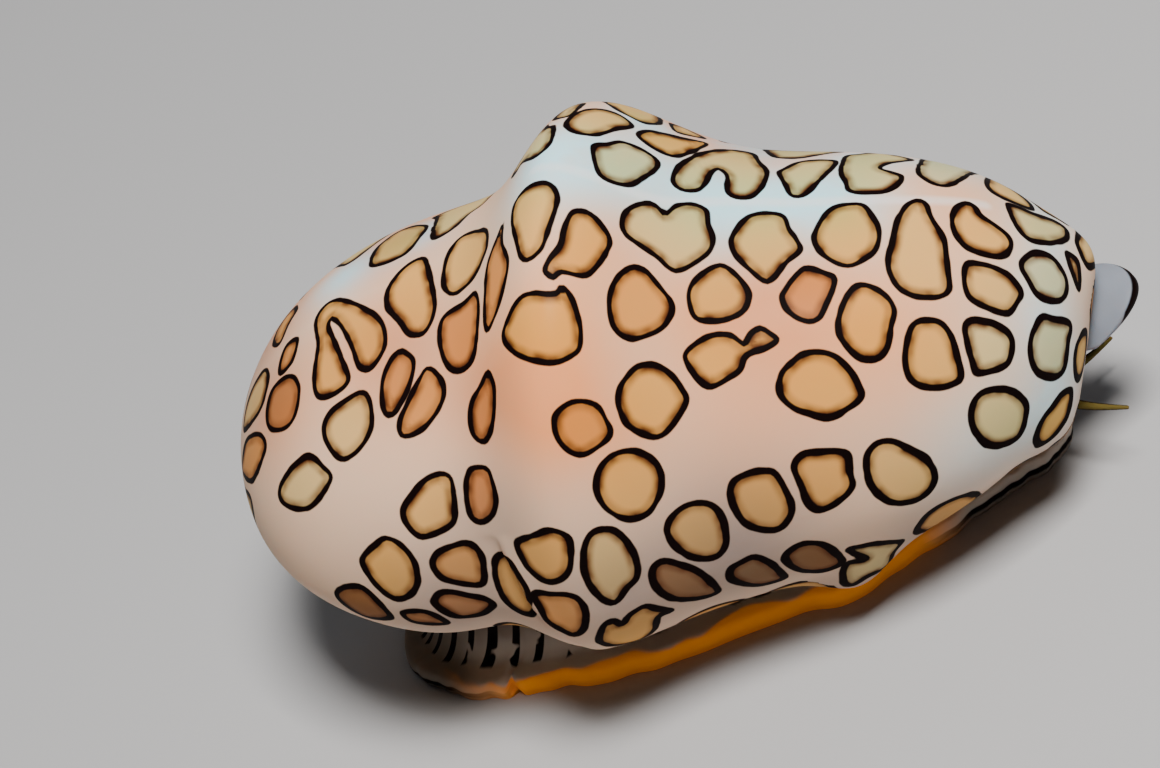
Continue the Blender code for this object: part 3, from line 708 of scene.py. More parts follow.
draw = np.random.default_rng(HIDDEN_SEED)
skin_facing = skin_normals @ BACK
edge = lines.min(axis=1)
free = (skin_points[:, 2] > HEM_HEIGHT) & (edge > SEED_ROOM_AT_SPOTS)
hidden = np.where((skin_facing < HORIZON) & free)[0]
seeds = []
for candidate in draw.permutation(hidden):
    place = skin_points[candidate]
    room = SEED_ROOM * (SEED_ROOM_SHARES[0] + SEED_ROOM_SHARES[1] * draw.random())
    if all(np.linalg.norm(place - seed) > room for seed in seeds):
        seeds.append(place)
seeds = np.array(seeds)
largest = draw.uniform(*CELL_LARGEST, len(seeds))
seed_tints = draw.uniform(*SEED_TINTS, len(seeds))
print(len(seeds), "seeds on the hidden side")


def soft_minimum(values, softness):
    """Take the smallest of many distances, with the corners between them rounded."""
    return -softness * np.log(np.exp(-values / softness).sum(axis=1))


above_belly = skin_points[:, 2] > BELLY_HEIGHT + BELLY_ROOM
hidden = np.where((skin_facing < HORIZON + HORIZON_OVERLAP) & above_belly)[0]
to_seeds = np.linalg.norm(skin_points[hidden][:, None] - seeds[None], axis=2)
order = np.argsort(to_seeds, axis=1)[:, :NEIGHBOURS]
ordered = np.take_along_axis(to_seeds, order, axis=1)
owner = order[:, 0]
between = np.linalg.norm(seeds[order[:, 1:]] - seeds[owner][:, None], axis=2)
to_border = (ordered[:, 1:] ** 2 - ordered[:, :1] ** 2) / (2 * between) - SKIN_STRIP / 2
to_rim = largest[owner] - ordered[:, 0]
to_spots = edge[hidden] - CELL_ROOM_AT_SPOTS
cell = -soft_minimum(np.column_stack((to_border, to_rim, to_spots)), CELL_ROUNDNESS)
lines[hidden, 0] = np.minimum(lines[hidden, 0], cell)
shows = cell < edge[hidden]
tint[hidden[shows]] = seed_tints[owner[shows]]
print("share of the skin inside spots", (lines.min(axis=1) < 0).mean().round(3))


def keep(piece, name, values):
    """Keep a number, or three, for each point of a mesh."""
    values = np.asarray(values, np.float32)
    kind, field = ("FLOAT", "value") if values.ndim == 1 else ("FLOAT_VECTOR", "vector")
    piece.data.attributes.new(name, kind, "POINT").data.foreach_set(field, values.ravel())


keep(mantle, "lines", lines)
keep(mantle, "tint", tint)

# %% [markdown]
# A living skin isn't one colour. Where the flesh is thin, light comes through it warm, and in the
# valley a warm tone of painted reflected light is added. Along the back a painted cool light from
# above makes it a bluish white, and low on the sides, under the overhangs and in the hollows painted
# shade makes it greyer and darker. Each of these is a number on the mesh, laid in soft patches that
# fade out, and the patches of the near side are mirrored onto the far one. "seam" is the distance
# from the faint pale line along the back, where the mantle's halves meet.

# %% Warm patches, patches of painted cool light and painted shade, and the seam
SEAM_PLACES = ((534, 170), (584, 173), (654, 199), (730, 201), (809, 202), (900, 200), (985, 205))
SEAM_FAR = 6.0
SEAM_HEIGHT = 7.0
SEAM_RISE = 0.1
WARM_PATCHES = {
    "ridge flank": ((560, 380), 2.5, 0.8),
    "ridge low": ((556, 445), 1.7, 0.4),
    "ridge foot": ((556, 300), 1.8, 0.35),
    # The valley patch paints the warm light reflected in the valley.
    "valley": ((488, 385), 2.2, 0.65),
    "rear flank": ((400, 350), 2.8, 0.6),
    "tail": ((275, 400), 2.2, 0.4),
    "middle flank": ((800, 315), 3.4, 0.65),
    "middle high": ((690, 310), 1.8, 0.4),
    "middle low": ((730, 420), 3.2, 0.35),
    "front top": ((945, 215), 2.2, 0.35),
    "ridge neck": ((605, 245), 1.8, 0.5),
    "front flank": ((905, 340), 2.4, 0.4),
    "rear side": ((380, 340), 1.8, 0.35),
    "tail side": ((275, 410), 1.8, 0.35),
    "middle top": ((765, 305), 1.8, 0.3),
    "middle side": ((625, 440), 1.2, 0.3),
}
# Painted cool light: patches where a bluish white of the light and broad sheen from above is laid on the
# skin, mostly along the back and on the front.
PAINTED_COOL_LIGHT_PATCHES = {
    "ridge front": ((556, 160), 1.9, 1.0),
    "ridge top": ((625, 165), 1.7, 0.7),
    "back": ((705, 205), 1.8, 0.8),
    "back middle": ((775, 200), 1.8, 0.8),
    "back end": ((845, 200), 1.7, 0.8),
    "rear top": ((345, 275), 1.4, 0.8),
    "rear crest": ((420, 235), 1.4, 0.8),
    "corner": ((1050, 310), 1.8, 0.5),
    "corner top": ((1048, 235), 1.3, 0.5),
    "nose": ((1050, 400), 2.0, 0.6),
    "low front": ((975, 450), 2.2, 0.35),
    "crown": ((640, 120), 1.5, 0.8),
    "back edge": ((755, 150), 1.5, 0.8),
    "back far": ((855, 157), 1.5, 0.8),
    "front end": ((940, 165), 1.3, 0.5),
}
# Painted shade: patches that darken the skin under the body, behind the fold, in the valley, at the tail
# and on the flanks.
PAINTED_SHADE_PATCHES = {
    "under the middle": ((735, 550), 3.3, 0.75),
    "under the ridge": ((610, 600), 2.2, 0.5),
    "behind the fold": ((455, 600), 2.8, 0.65),
    "under the front": ((925, 530), 2.0, 0.6),
    "tail": ((262, 400), 2.6, 0.42),
    "valley": ((487, 400), 1.5, 0.25),
    "rear flank": ((400, 350), 2.4, 0.32),
    "middle flank": ((765, 305), 2.4, 0.2),
    "low valley": ((490, 510), 1.6, 0.3),
}
MIRRORED = np.array((1.0, -1.0, 1.0))


def soft_patches(patches):
    """Add up soft round patches, each with its place in the picture, its reach and its strength."""
    total = np.zeros(len(skin_points))
    for place, reach, strength in patches.values():
        centre = on_skin(place)
        away = np.linalg.norm(skin_points - centre, axis=1)
        if centre[1] < 0:
            away = np.minimum(away, np.linalg.norm(skin_points - centre * MIRRORED, axis=1))
        total += strength * bump(away, reach)
    return np.minimum(total, 1.0)


for name, patches in (("warm", WARM_PATCHES), ("painted_cool_light", PAINTED_COOL_LIGHT_PATCHES), ("painted_shade", PAINTED_SHADE_PATCHES)):
    keep(mantle, name, soft_patches(patches))
seam = np.full(len(skin_points), SEAM_FAR)
above = np.where((np.sin(skin_around) > SEAM_RISE) & (skin_points[:, 2] > SEAM_HEIGHT))[0]
seam[above] = along_path(skin_points[above], smooth_path([on_skin(place) for place in SEAM_PLACES]))[0]
keep(mantle, "seam", np.minimum(seam, SEAM_FAR))
print(len(WARM_PATCHES), "warm,", len(PAINTED_COOL_LIGHT_PATCHES), "cool and", len(PAINTED_SHADE_PATCHES), "dim patches")

# %% [markdown]
# ## Skin materials
# Wet skin is the same everywhere on the animal: light goes a little way in and comes out warm, and a
# film of water gives soft reflections. A node group makes the faint mottling that all the skins
# share, and each material mixes its own colours with it. Each noise has a size and a detail.

# %% A group for the mottling of skin
def feed(tree, socket, value):
    """Link a socket to an input, or give the input a plain value."""
    if isinstance(value, bpy.types.NodeSocket):
        tree.links.new(value, socket)
    else:
        socket.default_value = value


def put(tree, kind, inputs=(), **settings):
    """Add a node, set its options, and feed its inputs with sockets or plain values."""
    node = tree.nodes.new(kind)
    for name, value in settings.items():
        setattr(node, name, value)
    for name, value in dict(inputs).items():
        feed(tree, node.inputs[name], value)
    return node


def mix_colors(tree, share, first, second, blend="MIX"):
    """Mix two colours and give the mixed socket."""
    inputs = {0: share, 6: first, 7: second}
    return put(tree, "ShaderNodeMix", inputs, data_type="RGBA", blend_type=blend).outputs[2]


def fade(tree, source, low, high, to_low=0.0, to_high=1.0):
    """Turn a number into a smooth step between two limits."""
    inputs = {0: source, 1: low, 2: high, 3: to_low, 4: to_high}
    return put(tree, "ShaderNodeMapRange", inputs, interpolation_type="SMOOTHSTEP").outputs[0]


def fade_out(tree, source, low, high):
    """Turn a number into a smooth step down from one to zero."""
    return fade(tree, source, low, high, 1.0, 0.0)


def calculate(tree, operation, first, second=0.0):
    """Do one sum with sockets or plain numbers."""
    return put(tree, "ShaderNodeMath", {0: first, 1: second}, operation=operation).outputs[0]


def multiply(tree, first, second):
    """Multiply two numbers."""
    return calculate(tree, "MULTIPLY", first, second)


def add_uneven(tree, value, patch, amount):
    """Add a part of the mottling, up and down by half the amount, to a number."""
    around_zero = calculate(tree, "SUBTRACT", patch, 0.5)
    return calculate(tree, "ADD", value, multiply(tree, around_zero, amount))


def own_place(tree):
    """Give the socket of each point's place on its piece."""
    return put(tree, "ShaderNodeTexCoord").outputs["Object"]


def place_part(tree, axis):
    """Give the socket of one part of the place: X runs along the body and Z up."""
    return put(tree, "ShaderNodeSeparateXYZ", {"Vector": own_place(tree)}).outputs[axis]


NOISES = {"Cloud": (350.0, 3.0), "Patch": (1400.0, 1.0), "Grain": (2600.0, 4.0)}


def build_mottling():
    """Build the group: a soft cloud of tones, small patches, and a fine height for the skin's grain."""
    group = bpy.data.node_groups.new("skin mottling", "ShaderNodeTree")
    number = {"socket_type": "NodeSocketFloat"}
    for name, (size, detail) in NOISES.items():
        group.interface.new_socket(name + " Size", in_out="INPUT", **number).default_value = size
        group.interface.new_socket(name, in_out="OUTPUT", **number)
    sizes = group.nodes.new("NodeGroupInput").outputs
    end = group.nodes.new("NodeGroupOutput")
    place = own_place(group)
    for name, (size, detail) in NOISES.items():
        inputs = {"Detail": detail, "Vector": place, "Scale": sizes[name + " Size"]}
        noise = put(group, "ShaderNodeTexNoise", inputs)
        group.links.new(noise.outputs["Fac"], end.inputs[name])
    return group


MOTTLING = build_mottling()
WETNESS = 0.04
GLOW_RADII = (1.0, 0.45, 0.3)
GRAIN_STRENGTH = 0.12
GRAIN_HEIGHT = 0.04
WET_VALUES = {"IOR": 1.1, "Specular IOR Level": 0.15, "Coat Weight": WETNESS, "Coat Roughness": 0.25}


def new_material(name, values):
    """Start a material, set its shader's values, and give it with its tree and shader."""
    material = bpy.data.materials.new(name)
    material.use_nodes = True
    shader = material.node_tree.nodes["Principled BSDF"]
    for socket, value in values.items():
        shader.inputs[socket].default_value = value
    return material, material.node_tree, shader


def wet_skin(name, roughness, glow, glow_depth):
    """Start a material of wet, slightly see-through skin, and give its tree, shader and mottling."""
    glow_values = {
        "Roughness": roughness,
        "Subsurface Weight": glow,
        "Subsurface Radius": GLOW_RADII,
        "Subsurface Scale": glow_depth * MM,
    }
    material, tree, shader = new_material(name, {**glow_values, **WET_VALUES})
    mottling = put(tree, "ShaderNodeGroup", node_tree=MOTTLING).outputs
    relief_values = {"Strength": GRAIN_STRENGTH, "Distance": GRAIN_HEIGHT * MM, "Height": mottling["Grain"]}
    relief = put(tree, "ShaderNodeBump", relief_values)
    tree.links.new(relief.outputs["Normal"], shader.inputs["Normal"])
    return material, tree, shader, mottling


# %% [markdown]
# The mantle's skin is cream. It is peach in the warm patches, a painted bluish white of cool light
# in the patches along the back, and greyer and darker with painted shade in the shaded patches and
# low down. The cells run from pale cream over gold and orange to brown, and the brown of the low
# spots near the hem and the tail is painted shade. The cells take the same painted cool light and
# painted shade, with a darker, browner rim just inside the line. The line is nearly black, and a
# little thicker low on the body than on the top. A fade is given as two limits, then the values below
# and above them. Distances and fades across a line are in millimetres.

# %% The mantle's material
SKIN_CREAM = (0.82, 0.55, 0.38, 1.0)
SKIN_PEACH = (0.95, 0.36, 0.14, 1.0)
# Painted cool light: the bluish white of the light and broad sheen from above.
SKIN_PAINTED_COOL_LIGHT = (0.54, 0.88, 1.0, 1.0)
# Painted shade: greyer, darker skin low on the sides, under the overhangs and in the hollows.
SKIN_PAINTED_SHADE = (0.20, 0.17, 0.17, 1.0)
TINT_LARGEST = 2.0
# From tint 1 on toward 2 the cells turn brown; on the low spots this brown is painted shade.
CELL_TINTS = (
    (0.0, (0.55, 0.57, 0.40, 1.0)),
    (0.1, (0.70, 0.52, 0.24, 1.0)),
    (0.22, (0.77, 0.395, 0.105, 1.0)),
    (0.5, (0.65, 0.235, 0.07, 1.0)),
    (1.0, (0.125, 0.062, 0.024, 1.0)),
)
CELL_RIM = (0.10, 0.03, 0.01, 1.0)
# Painted shade on the cells, mixed in by the shaded patches and low down.
CELL_PAINTED_SHADE = (0.18, 0.135, 0.09, 1.0)
CELL_WARMTH = (1.0, 0.82, 0.55, 1.0)
# Painted cool light on the cells.
CELL_PAINTED_COOL_LIGHT = (0.72, 1.0, 1.0, 1.0)
LINE_COLOR = (0.006, 0.003, 0.003, 1.0)
LINE_SOFTNESS = 0.025
LINE_HALF_FADE = (4.0 * MM, 15.0 * MM, 0.15, 0.1)
LINE_UNEVENNESS = 0.12
RIM_FADE = (0.12, 0.42, 1.0, 0.0)
RIM_PATCHES = (0.3, 0.7, 0.4, 1.0)
CELL_EDGE = 0.02
# How far the cells take the painted shade.
CELL_SHADE_SHARE = 0.75
# The painted cool light is broken up by the clouds.
PAINTED_COOL_LIGHT_CLOUDS = (0.3, 0.5, 0.7, 1.0)
# The painted shade low down fades in below this height, and the clouds move its edge.
LOW_SHADE_CLOUDS = 3.0
LOW_SHADE_FADE = (2.5 * MM, 7.0 * MM, 0.85, 0.0)
SEAM_PALE = (0.9, 0.9, 0.9, 1.0)
SEAM_FADE = (0.05, 0.35, 0.45, 0.0)


def pick_tint(tree, source, stops):
    """Give a colour from a row of stops."""
    ramp = put(tree, "ShaderNodeValToRGB", {"Fac": source})
    elements = ramp.color_ramp.elements
    while len(elements) < len(stops):
        elements.new(0.5)
    for element, (place, color) in zip(elements, stops):
        element.position = place
        element.color = color
    return ramp.outputs["Color"]


def read_number(tree, name):
    """Give the socket of a number kept on the mesh."""
    return put(tree, "ShaderNodeAttribute", attribute_name=name).outputs["Fac"]


def line_distance(tree):
    """Give the distance to the nearest line, below zero inside a spot."""
    sets = put(tree, "ShaderNodeAttribute", attribute_name="lines").outputs["Vector"]
    parts = put(tree, "ShaderNodeSeparateXYZ", {"Vector": sets}).outputs
    return calculate(tree, "MINIMUM", calculate(tree, "MINIMUM", parts["X"], parts["Y"]), parts["Z"])


def mantle_material():
    """Make the spotted skin of the mantle."""
    material, tree, shader, mottling = wet_skin("mantle skin", roughness=0.45, glow=0.35, glow_depth=0.8)
    height = place_part(tree, "Z")
    cloud, patch = mottling["Cloud"], mottling["Patch"]
    high = calculate(tree, "ADD", height, multiply(tree, cloud, LOW_SHADE_CLOUDS * MM))
    warm = read_number(tree, "warm")
    # Painted cool light from above, broken up by the clouds.
    painted_cool_light = multiply(tree, read_number(tree, "painted_cool_light"), fade(tree, cloud, *PAINTED_COOL_LIGHT_CLOUDS))
    # Painted shade: low down and in the shaded patches.
    painted_shade = calculate(tree, "MAXIMUM", fade(tree, high, *LOW_SHADE_FADE), read_number(tree, "painted_shade"))
    skin_color = mix_colors(tree, warm, SKIN_CREAM, SKIN_PEACH)
    skin_color = mix_colors(tree, painted_cool_light, skin_color, SKIN_PAINTED_COOL_LIGHT)
    skin_color = mix_colors(tree, painted_shade, skin_color, SKIN_PAINTED_SHADE)
    skin_color = mix_colors(tree, fade(tree, read_number(tree, "seam"), *SEAM_FADE), skin_color, SEAM_PALE)
    signed = line_distance(tree)
    size = calculate(tree, "ABSOLUTE", signed)
    cell = pick_tint(tree, multiply(tree, read_number(tree, "tint"), 1 / TINT_LARGEST), CELL_TINTS)
    cell = mix_colors(tree, warm, cell, CELL_WARMTH, "MULTIPLY")
    cell = mix_colors(tree, painted_cool_light, cell, CELL_PAINTED_COOL_LIGHT, "MULTIPLY")
    cell = mix_colors(tree, multiply(tree, painted_shade, CELL_SHADE_SHARE), cell, CELL_PAINTED_SHADE)
    rim = multiply(tree, fade(tree, size, *RIM_FADE), fade(tree, patch, *RIM_PATCHES))
    cell = mix_colors(tree, rim, cell, CELL_RIM)
    half = add_uneven(tree, fade(tree, height, *LINE_HALF_FADE), patch, LINE_UNEVENNESS)
    off_line = fade(tree, calculate(tree, "SUBTRACT", size, half), -LINE_SOFTNESS, LINE_SOFTNESS)
    base = mix_colors(tree, fade_out(tree, signed, -CELL_EDGE, CELL_EDGE), skin_color, cell)
    base = mix_colors(tree, off_line, LINE_COLOR, base)
    tree.links.new(base, shader.inputs["Base Color"])
    tree.links.new(multiply(tree, off_line, WETNESS), shader.inputs["Coat Weight"])
    return material


mantle.data.materials.append(mantle_material())

# %% [markdown]
# ## The foot
# The foot is a flat sole with a thin, wavy edge. Its wall rises in under the mantle, and there it is
# darkened with painted shade. The edge is orange and lets a little light through, and it carries a
# faint painted glow, so it stays bright in the mantle's shade. Dark stripes run up the wall. The
# outline and the steps of the wall repeat the rule of the solids, and a smooth curve runs through the
# steps. Each step is an inset and a height, and each ruffle a size, a count and a start. "rise" runs
# from the edge up the wall and is below zero under the sole, and "turn" runs from the head end to the
# tail end on both sides.

# %% The net of the foot
FOOT_ENDS = (-12.3, 13.0)
FOOT_WIDEST_PLACE = -5.5
FOOT_HALF_WIDTHS = (4.4, 5.1, 2.2)
FOOT_LOBE = (4.2, 2.0, 0.8)
FOOT_BLUNTNESS = 2.8
FOOT_LINE = (-1.15, 1.0)
FOOT_WAVE = 0.16
FOOT_WAVES = 5
FOOT_STEPS = ((0.0, 0.42), (0.12, 0.8), (0.9, 0.98), (1.45, 1.7), (1.95, 3.0), (2.5, 4.6), (3.1, 6.0))
RUFFLES = ((0.07, 23, 1.0), (0.05, 37, 2.5), (0.03, 61, 0.4))
NOTCH_PLACE = (509, 664)
NOTCH_DEPTH = 0.5
NOTCH_WIDTH = 0.022
RUFFLE_HEIGHT = 0.35
RUFFLE_LAG = 0.03
RUFFLE_LEVEL = (0.8, 0.5)
FOOT_AROUND = 600
WALL_LEVELS = 60
WALL_RISE = 0.5
SOLE_INSET = 0.1
SOLE_LEVELS = 14
SOLE_RISE = 5.0
TOP_RISE = 6.0


def foot_line(x):
    """Give the y of the foot's middle line."""
    run = FOOT_LINE[1] - FOOT_LINE[0]
    return FOOT_LINE[0] + run * (x - FOOT_ENDS[0]) / (FOOT_ENDS[1] - FOOT_ENDS[0])


def ruffle(turn):
    """Give the fine waves of the foot's edge, and the notch where it folds."""
    waves = sum(size * np.sin(count * turn + start) for size, count, start in RUFFLES)
    return waves - NOTCH_DEPTH * bump(turn - notch_turn, NOTCH_WIDTH)


def foot_edge(turn, inset):
    """Place points of the foot's outline, moved in from the edge."""
    ahead, beside = np.cos(turn), np.sin(turn)
    x = np.abs(ahead) ** (2 / FOOT_BLUNTNESS) * np.sign(ahead)
    x = sum(FOOT_ENDS) / 2 + ((FOOT_ENDS[1] - FOOT_ENDS[0]) / 2 - inset) * x
    to_front = x > FOOT_WIDEST_PLACE
    end = np.where(to_front, FOOT_ENDS[1], FOOT_ENDS[0])
    end_width = np.where(to_front, FOOT_HALF_WIDTHS[2], FOOT_HALF_WIDTHS[0])
    share = (x - FOOT_WIDEST_PLACE) / (end - FOOT_WIDEST_PLACE)
    width = FOOT_HALF_WIDTHS[1] + (end_width - FOOT_HALF_WIDTHS[1]) * share ** 2 - inset
    free = max(0.0, 1.0 - inset)
    width = width + (FOOT_WAVE * np.sin(2 * FOOT_WAVES * turn) + ruffle(turn)) * free
    lobe_place, lobe_length, lobe_reach = FOOT_LOBE
    width = width + np.where(beside < 0, lobe_reach * bump(x - lobe_place, lobe_length), 0.0)
    return x, width * np.abs(beside) ** (2 / FOOT_BLUNTNESS) * np.sign(beside) + foot_line(x)


def foot_wall(level):
    """Give the inset and the height of one level of the wall, on a smooth curve through the steps."""
    steps = np.array(FOOT_STEPS)
    place = level * (len(steps) - 1)
    index = min(int(place), len(steps) - 2)
    share = place - index
    before, beyond = steps[max(index - 1, 0)], steps[min(index + 2, len(steps) - 1)]
    return curve_point(before, steps[index], steps[index + 1], beyond, share)


foot_turns = np.arange(FOOT_AROUND) * 2 * pi / FOOT_AROUND
notch_turn = 0.0
outline = np.column_stack((*foot_edge(foot_turns, 0.0), np.full(FOOT_AROUND, FOOT_STEPS[0][1])))
notch_turn = foot_turns[((in_picture(outline) - NOTCH_PLACE) ** 2).sum(axis=1).argmin()]
sole_middle = np.array((sum(FOOT_ENDS) / 2, foot_line(sum(FOOT_ENDS) / 2)))
foot_rings = []
foot_rises = []
for level in range(SOLE_LEVELS):
    share = (level + 1) / SOLE_LEVELS
    spread = sole_middle + (np.column_stack(foot_edge(foot_turns, SOLE_INSET)) - sole_middle) * share
    foot_rings.append(np.column_stack((spread, np.zeros(FOOT_AROUND))))
    foot_rises.append(np.full(FOOT_AROUND, SOLE_INSET - SOLE_RISE * (1 - share)))
for level in range(WALL_LEVELS):
    inset, height = foot_wall(level / (WALL_LEVELS - 1))
    wave = ruffle(foot_turns + RUFFLE_LAG) * bump(height - RUFFLE_LEVEL[0], RUFFLE_LEVEL[1])
    lifted = np.maximum(height + RUFFLE_HEIGHT * wave, 0.0)
    foot_rings.append(np.column_stack((*foot_edge(foot_turns, inset), lifted)))
    foot_rises.append(np.full(FOOT_AROUND, inset + height * WALL_RISE))
ends = np.array(((*sole_middle, 0.0), (*sole_middle, FOOT_STEPS[-1][1])))
foot_points = np.vstack(foot_rings + [ends])
foot = mesh_object("foot_skin", foot_points, ring_net(len(foot_rings), FOOT_AROUND))
keep(foot, "rise", np.append(np.concatenate(foot_rises), (-SOLE_RISE, TOP_RISE)))
turn_rows = np.tile(0.5 - np.abs(0.5 - foot_turns / (2 * pi)), len(foot_rings))
keep(foot, "turn", np.append(turn_rows, (0.0, 0.0)))
print("foot", len(foot_points), "points")

# %% The foot's material
FOOT_PALE = (0.62, 0.52, 0.44, 1.0)
# Painted shade: the wall darkens to this brown where it rises in under the mantle.
FOOT_PAINTED_SHADE = (0.085, 0.045, 0.025, 1.0)
FOOT_REAR = (0.16, 0.13, 0.10, 1.0)
FOOT_ORANGE = (1.0, 0.31, 0.008, 1.0)
# A painted glow: the orange edge shines faintly by emission, so it stays bright in the shade.
FOOT_PAINTED_GLOW = (1.0, 0.33, 0.04, 1.0)
NO_GLOW = (0.0, 0.0, 0.0, 1.0)
PAINTED_GLOW_STRENGTH = 0.12
FOOT_UNEVENNESS = 0.5
SHADE_RISES = (1.5, 3.2)
SHADE_END = (6.0 * MM, 9.0 * MM)
REAR_FADE = (-10.5 * MM, -8.5 * MM, 0.9, 0.0)
STRIPE_COUNT = 46
STRIPE_SLANT = 0.12
STRIPE_WAVES = {"Scale": pi / 10, "Distortion": 3.2, "Detail": 2.0, "Detail Scale": 1.6}
STRIPE_EDGES = (0.66, 0.78)
STRIPE_BREAKS = (0.38, 0.44)
STRIPE_RISES = (1.15, 1.35)
STRIPE_END = (9.5 * MM, 11.5 * MM)
ORANGE_REAR = (-11.0 * MM, -7.4 * MM)
ORANGE_FRONT = (6.5 * MM, 9.0 * MM)
ORANGE_CLOUDS = (0.35, 0.65, 0.3, -0.2)
ORANGE_RISES = (0.66, 0.90)
ORANGE_ROOT = (-0.1, 0.08)
RIM_RISE = 0.2
RIM_HALF = (0.03, 0.07)
SOLE_RISES = (-0.3, 0.05)


def foot_material():
    """Make the foot's skin: a pale, striped wall with painted shade under the mantle, and an orange edge
    with a painted glow.
    """
    material, tree, shader, mottling = wet_skin("foot skin", roughness=0.4, glow=0.25, glow_depth=0.5)
    rise = read_number(tree, "rise")
    length = place_part(tree, "X")
    patch = mottling["Patch"]
    moved = add_uneven(tree, rise, patch, FOOT_UNEVENNESS)
    # Painted shade on the wall under the mantle.
    in_shade = multiply(tree, fade(tree, moved, *SHADE_RISES), fade_out(tree, length, *SHADE_END))
    color = mix_colors(tree, in_shade, FOOT_PALE, FOOT_PAINTED_SHADE)
    color = mix_colors(tree, fade(tree, length, *REAR_FADE), color, FOOT_REAR)
    turned = multiply(tree, read_number(tree, "turn"), STRIPE_COUNT)
    along_edge = put(tree, "ShaderNodeCombineXYZ", {"X": turned, "Y": multiply(tree, rise, STRIPE_SLANT)})
    waves = put(tree, "ShaderNodeTexWave", {"Vector": along_edge.outputs[0], **STRIPE_WAVES})
    stripe = fade(tree, waves.outputs["Fac"], *STRIPE_EDGES)
    on_wall = multiply(tree, fade(tree, moved, *STRIPE_RISES), fade(tree, patch, *STRIPE_BREAKS))
    on_wall = multiply(tree, on_wall, fade_out(tree, length, *STRIPE_END))
    color = mix_colors(tree, multiply(tree, stripe, on_wall), color, LINE_COLOR)
    in_middle = multiply(tree, fade(tree, length, *ORANGE_REAR), fade_out(tree, length, *ORANGE_FRONT))
    uneven = calculate(tree, "ADD", moved, fade(tree, mottling["Cloud"], *ORANGE_CLOUDS))
    orange = multiply(tree, in_middle, fade_out(tree, uneven, *ORANGE_RISES))
    orange = multiply(tree, orange, fade(tree, rise, *ORANGE_ROOT))
    color = mix_colors(tree, orange, color, FOOT_ORANGE)
    from_rim = calculate(tree, "ABSOLUTE", calculate(tree, "SUBTRACT", rise, RIM_RISE))
    at_ends = calculate(tree, "SUBTRACT", 1.0, in_middle)
    dark_rim = multiply(tree, at_ends, fade_out(tree, from_rim, *RIM_HALF))
    color = mix_colors(tree, dark_rim, color, LINE_COLOR)
    color = mix_colors(tree, fade_out(tree, rise, *SOLE_RISES), color, FOOT_PALE)
    tree.links.new(color, shader.inputs["Base Color"])
    # The orange edge gets a faint painted glow.
    tree.links.new(mix_colors(tree, orange, NO_GLOW, FOOT_PAINTED_GLOW), shader.inputs["Emission Color"])
    shader.inputs["Emission Strength"].default_value = PAINTED_GLOW_STRENGTH
    return material


foot.data.materials.append(foot_material())

# %% [markdown]
# ## The siphon
# The siphon is a rolled lobe of smooth, pale grey skin that draws water in. It is a thin sheet along
# the roof of the opening, with a black line along its margin. The sheet is made as a net that turns
# over at the margin, so its two faces join in a round edge.

# %% The net of the siphon
SIPHON_ROOT = 13.1
SIPHON_TIP = 16.6
SIPHON_SHOULDER = 2.5
SIPHON_LEAN = 0.1
SIPHON_ANGLES = (radians(-64), radians(44))
SIPHON_THICKNESS = 0.6
TOUCH_GAP = 0.3
SIPHON_ACROSS = 90
SIPHON_ALONG = 60
ROUND_SHARE = 0.09
LINE_FADE = 1.2
LINE_END = 0.55
WELD_REACH = 0.001


def siphon_sheet(across, along, depth):
    """Place points of the siphon: across runs -1 to 1, along 0 to 1, and depth goes inward."""
    radii = [radius - TOUCH_GAP - depth for radius in OPENING_RADII]
    angle = SIPHON_ANGLES[0] + (SIPHON_ANGLES[1] - SIPHON_ANGLES[0]) * (across + 1) / 2
    tip = SIPHON_TIP - SIPHON_SHOULDER * (across + SIPHON_LEAN) ** 2
    x = SIPHON_ROOT + (tip - SIPHON_ROOT) * along
    girth = np.sqrt(np.maximum(0.0, 1.0 - ((x - OPENING_CENTRE[0]) / radii[0]) ** 2))
    y = OPENING_CENTRE[1] + radii[1] * girth * np.sin(angle)
    z = OPENING_CENTRE[2] + radii[2] * girth * np.cos(angle)
    return np.stack((x, y, z), axis=-1)


steps_across = np.linspace(-1, 1, SIPHON_ACROSS)
across_grid, along_grid = np.meshgrid(steps_across, np.linspace(0, 1, SIPHON_ALONG), indexing="ij")
from_margin = np.minimum(1 - np.abs(across_grid), 1 - along_grid)
rounding = np.sqrt(np.clip(1 - (1 - np.minimum(from_margin / ROUND_SHARE, 1)) ** 2, 0, 1))
half = SIPHON_THICKNESS / 2
faces = [siphon_sheet(across_grid, along_grid, half + side * half * rounding) for side in (-1, 1)]
sheet_count = SIPHON_ACROSS * SIPHON_ALONG
index = np.arange(sheet_count).reshape(SIPHON_ACROSS, SIPHON_ALONG)
quads = np.stack((index[:-1, :-1], index[1:, :-1], index[1:, 1:], index[:-1, 1:]), -1).reshape(-1, 4)
root_row = index[:, 0]
root_wall = [(a, b, b + sheet_count, a + sheet_count) for a, b in zip(root_row[:-1], root_row[1:])]
siphon_faces = quads.tolist() + (quads[:, ::-1] + sheet_count).tolist() + root_wall
siphon = mesh_object("siphon_skin", np.concatenate(faces).reshape(-1, 3), siphon_faces)
past_end = np.maximum(0.0, -across_grid - LINE_END)
margin = (1 - along_grid) * (SIPHON_TIP - SIPHON_ROOT) + LINE_FADE * past_end
keep(siphon, "margin", np.tile(margin.ravel(), 2))
weld = bmesh.new()
weld.from_mesh(siphon.data)
bmesh.ops.remove_doubles(weld, verts=weld.verts, dist=WELD_REACH * MM)
bmesh.ops.recalc_face_normals(weld, faces=weld.faces)
weld.to_mesh(siphon.data)
weld.free()
print("siphon", len(siphon.data.vertices), "points")

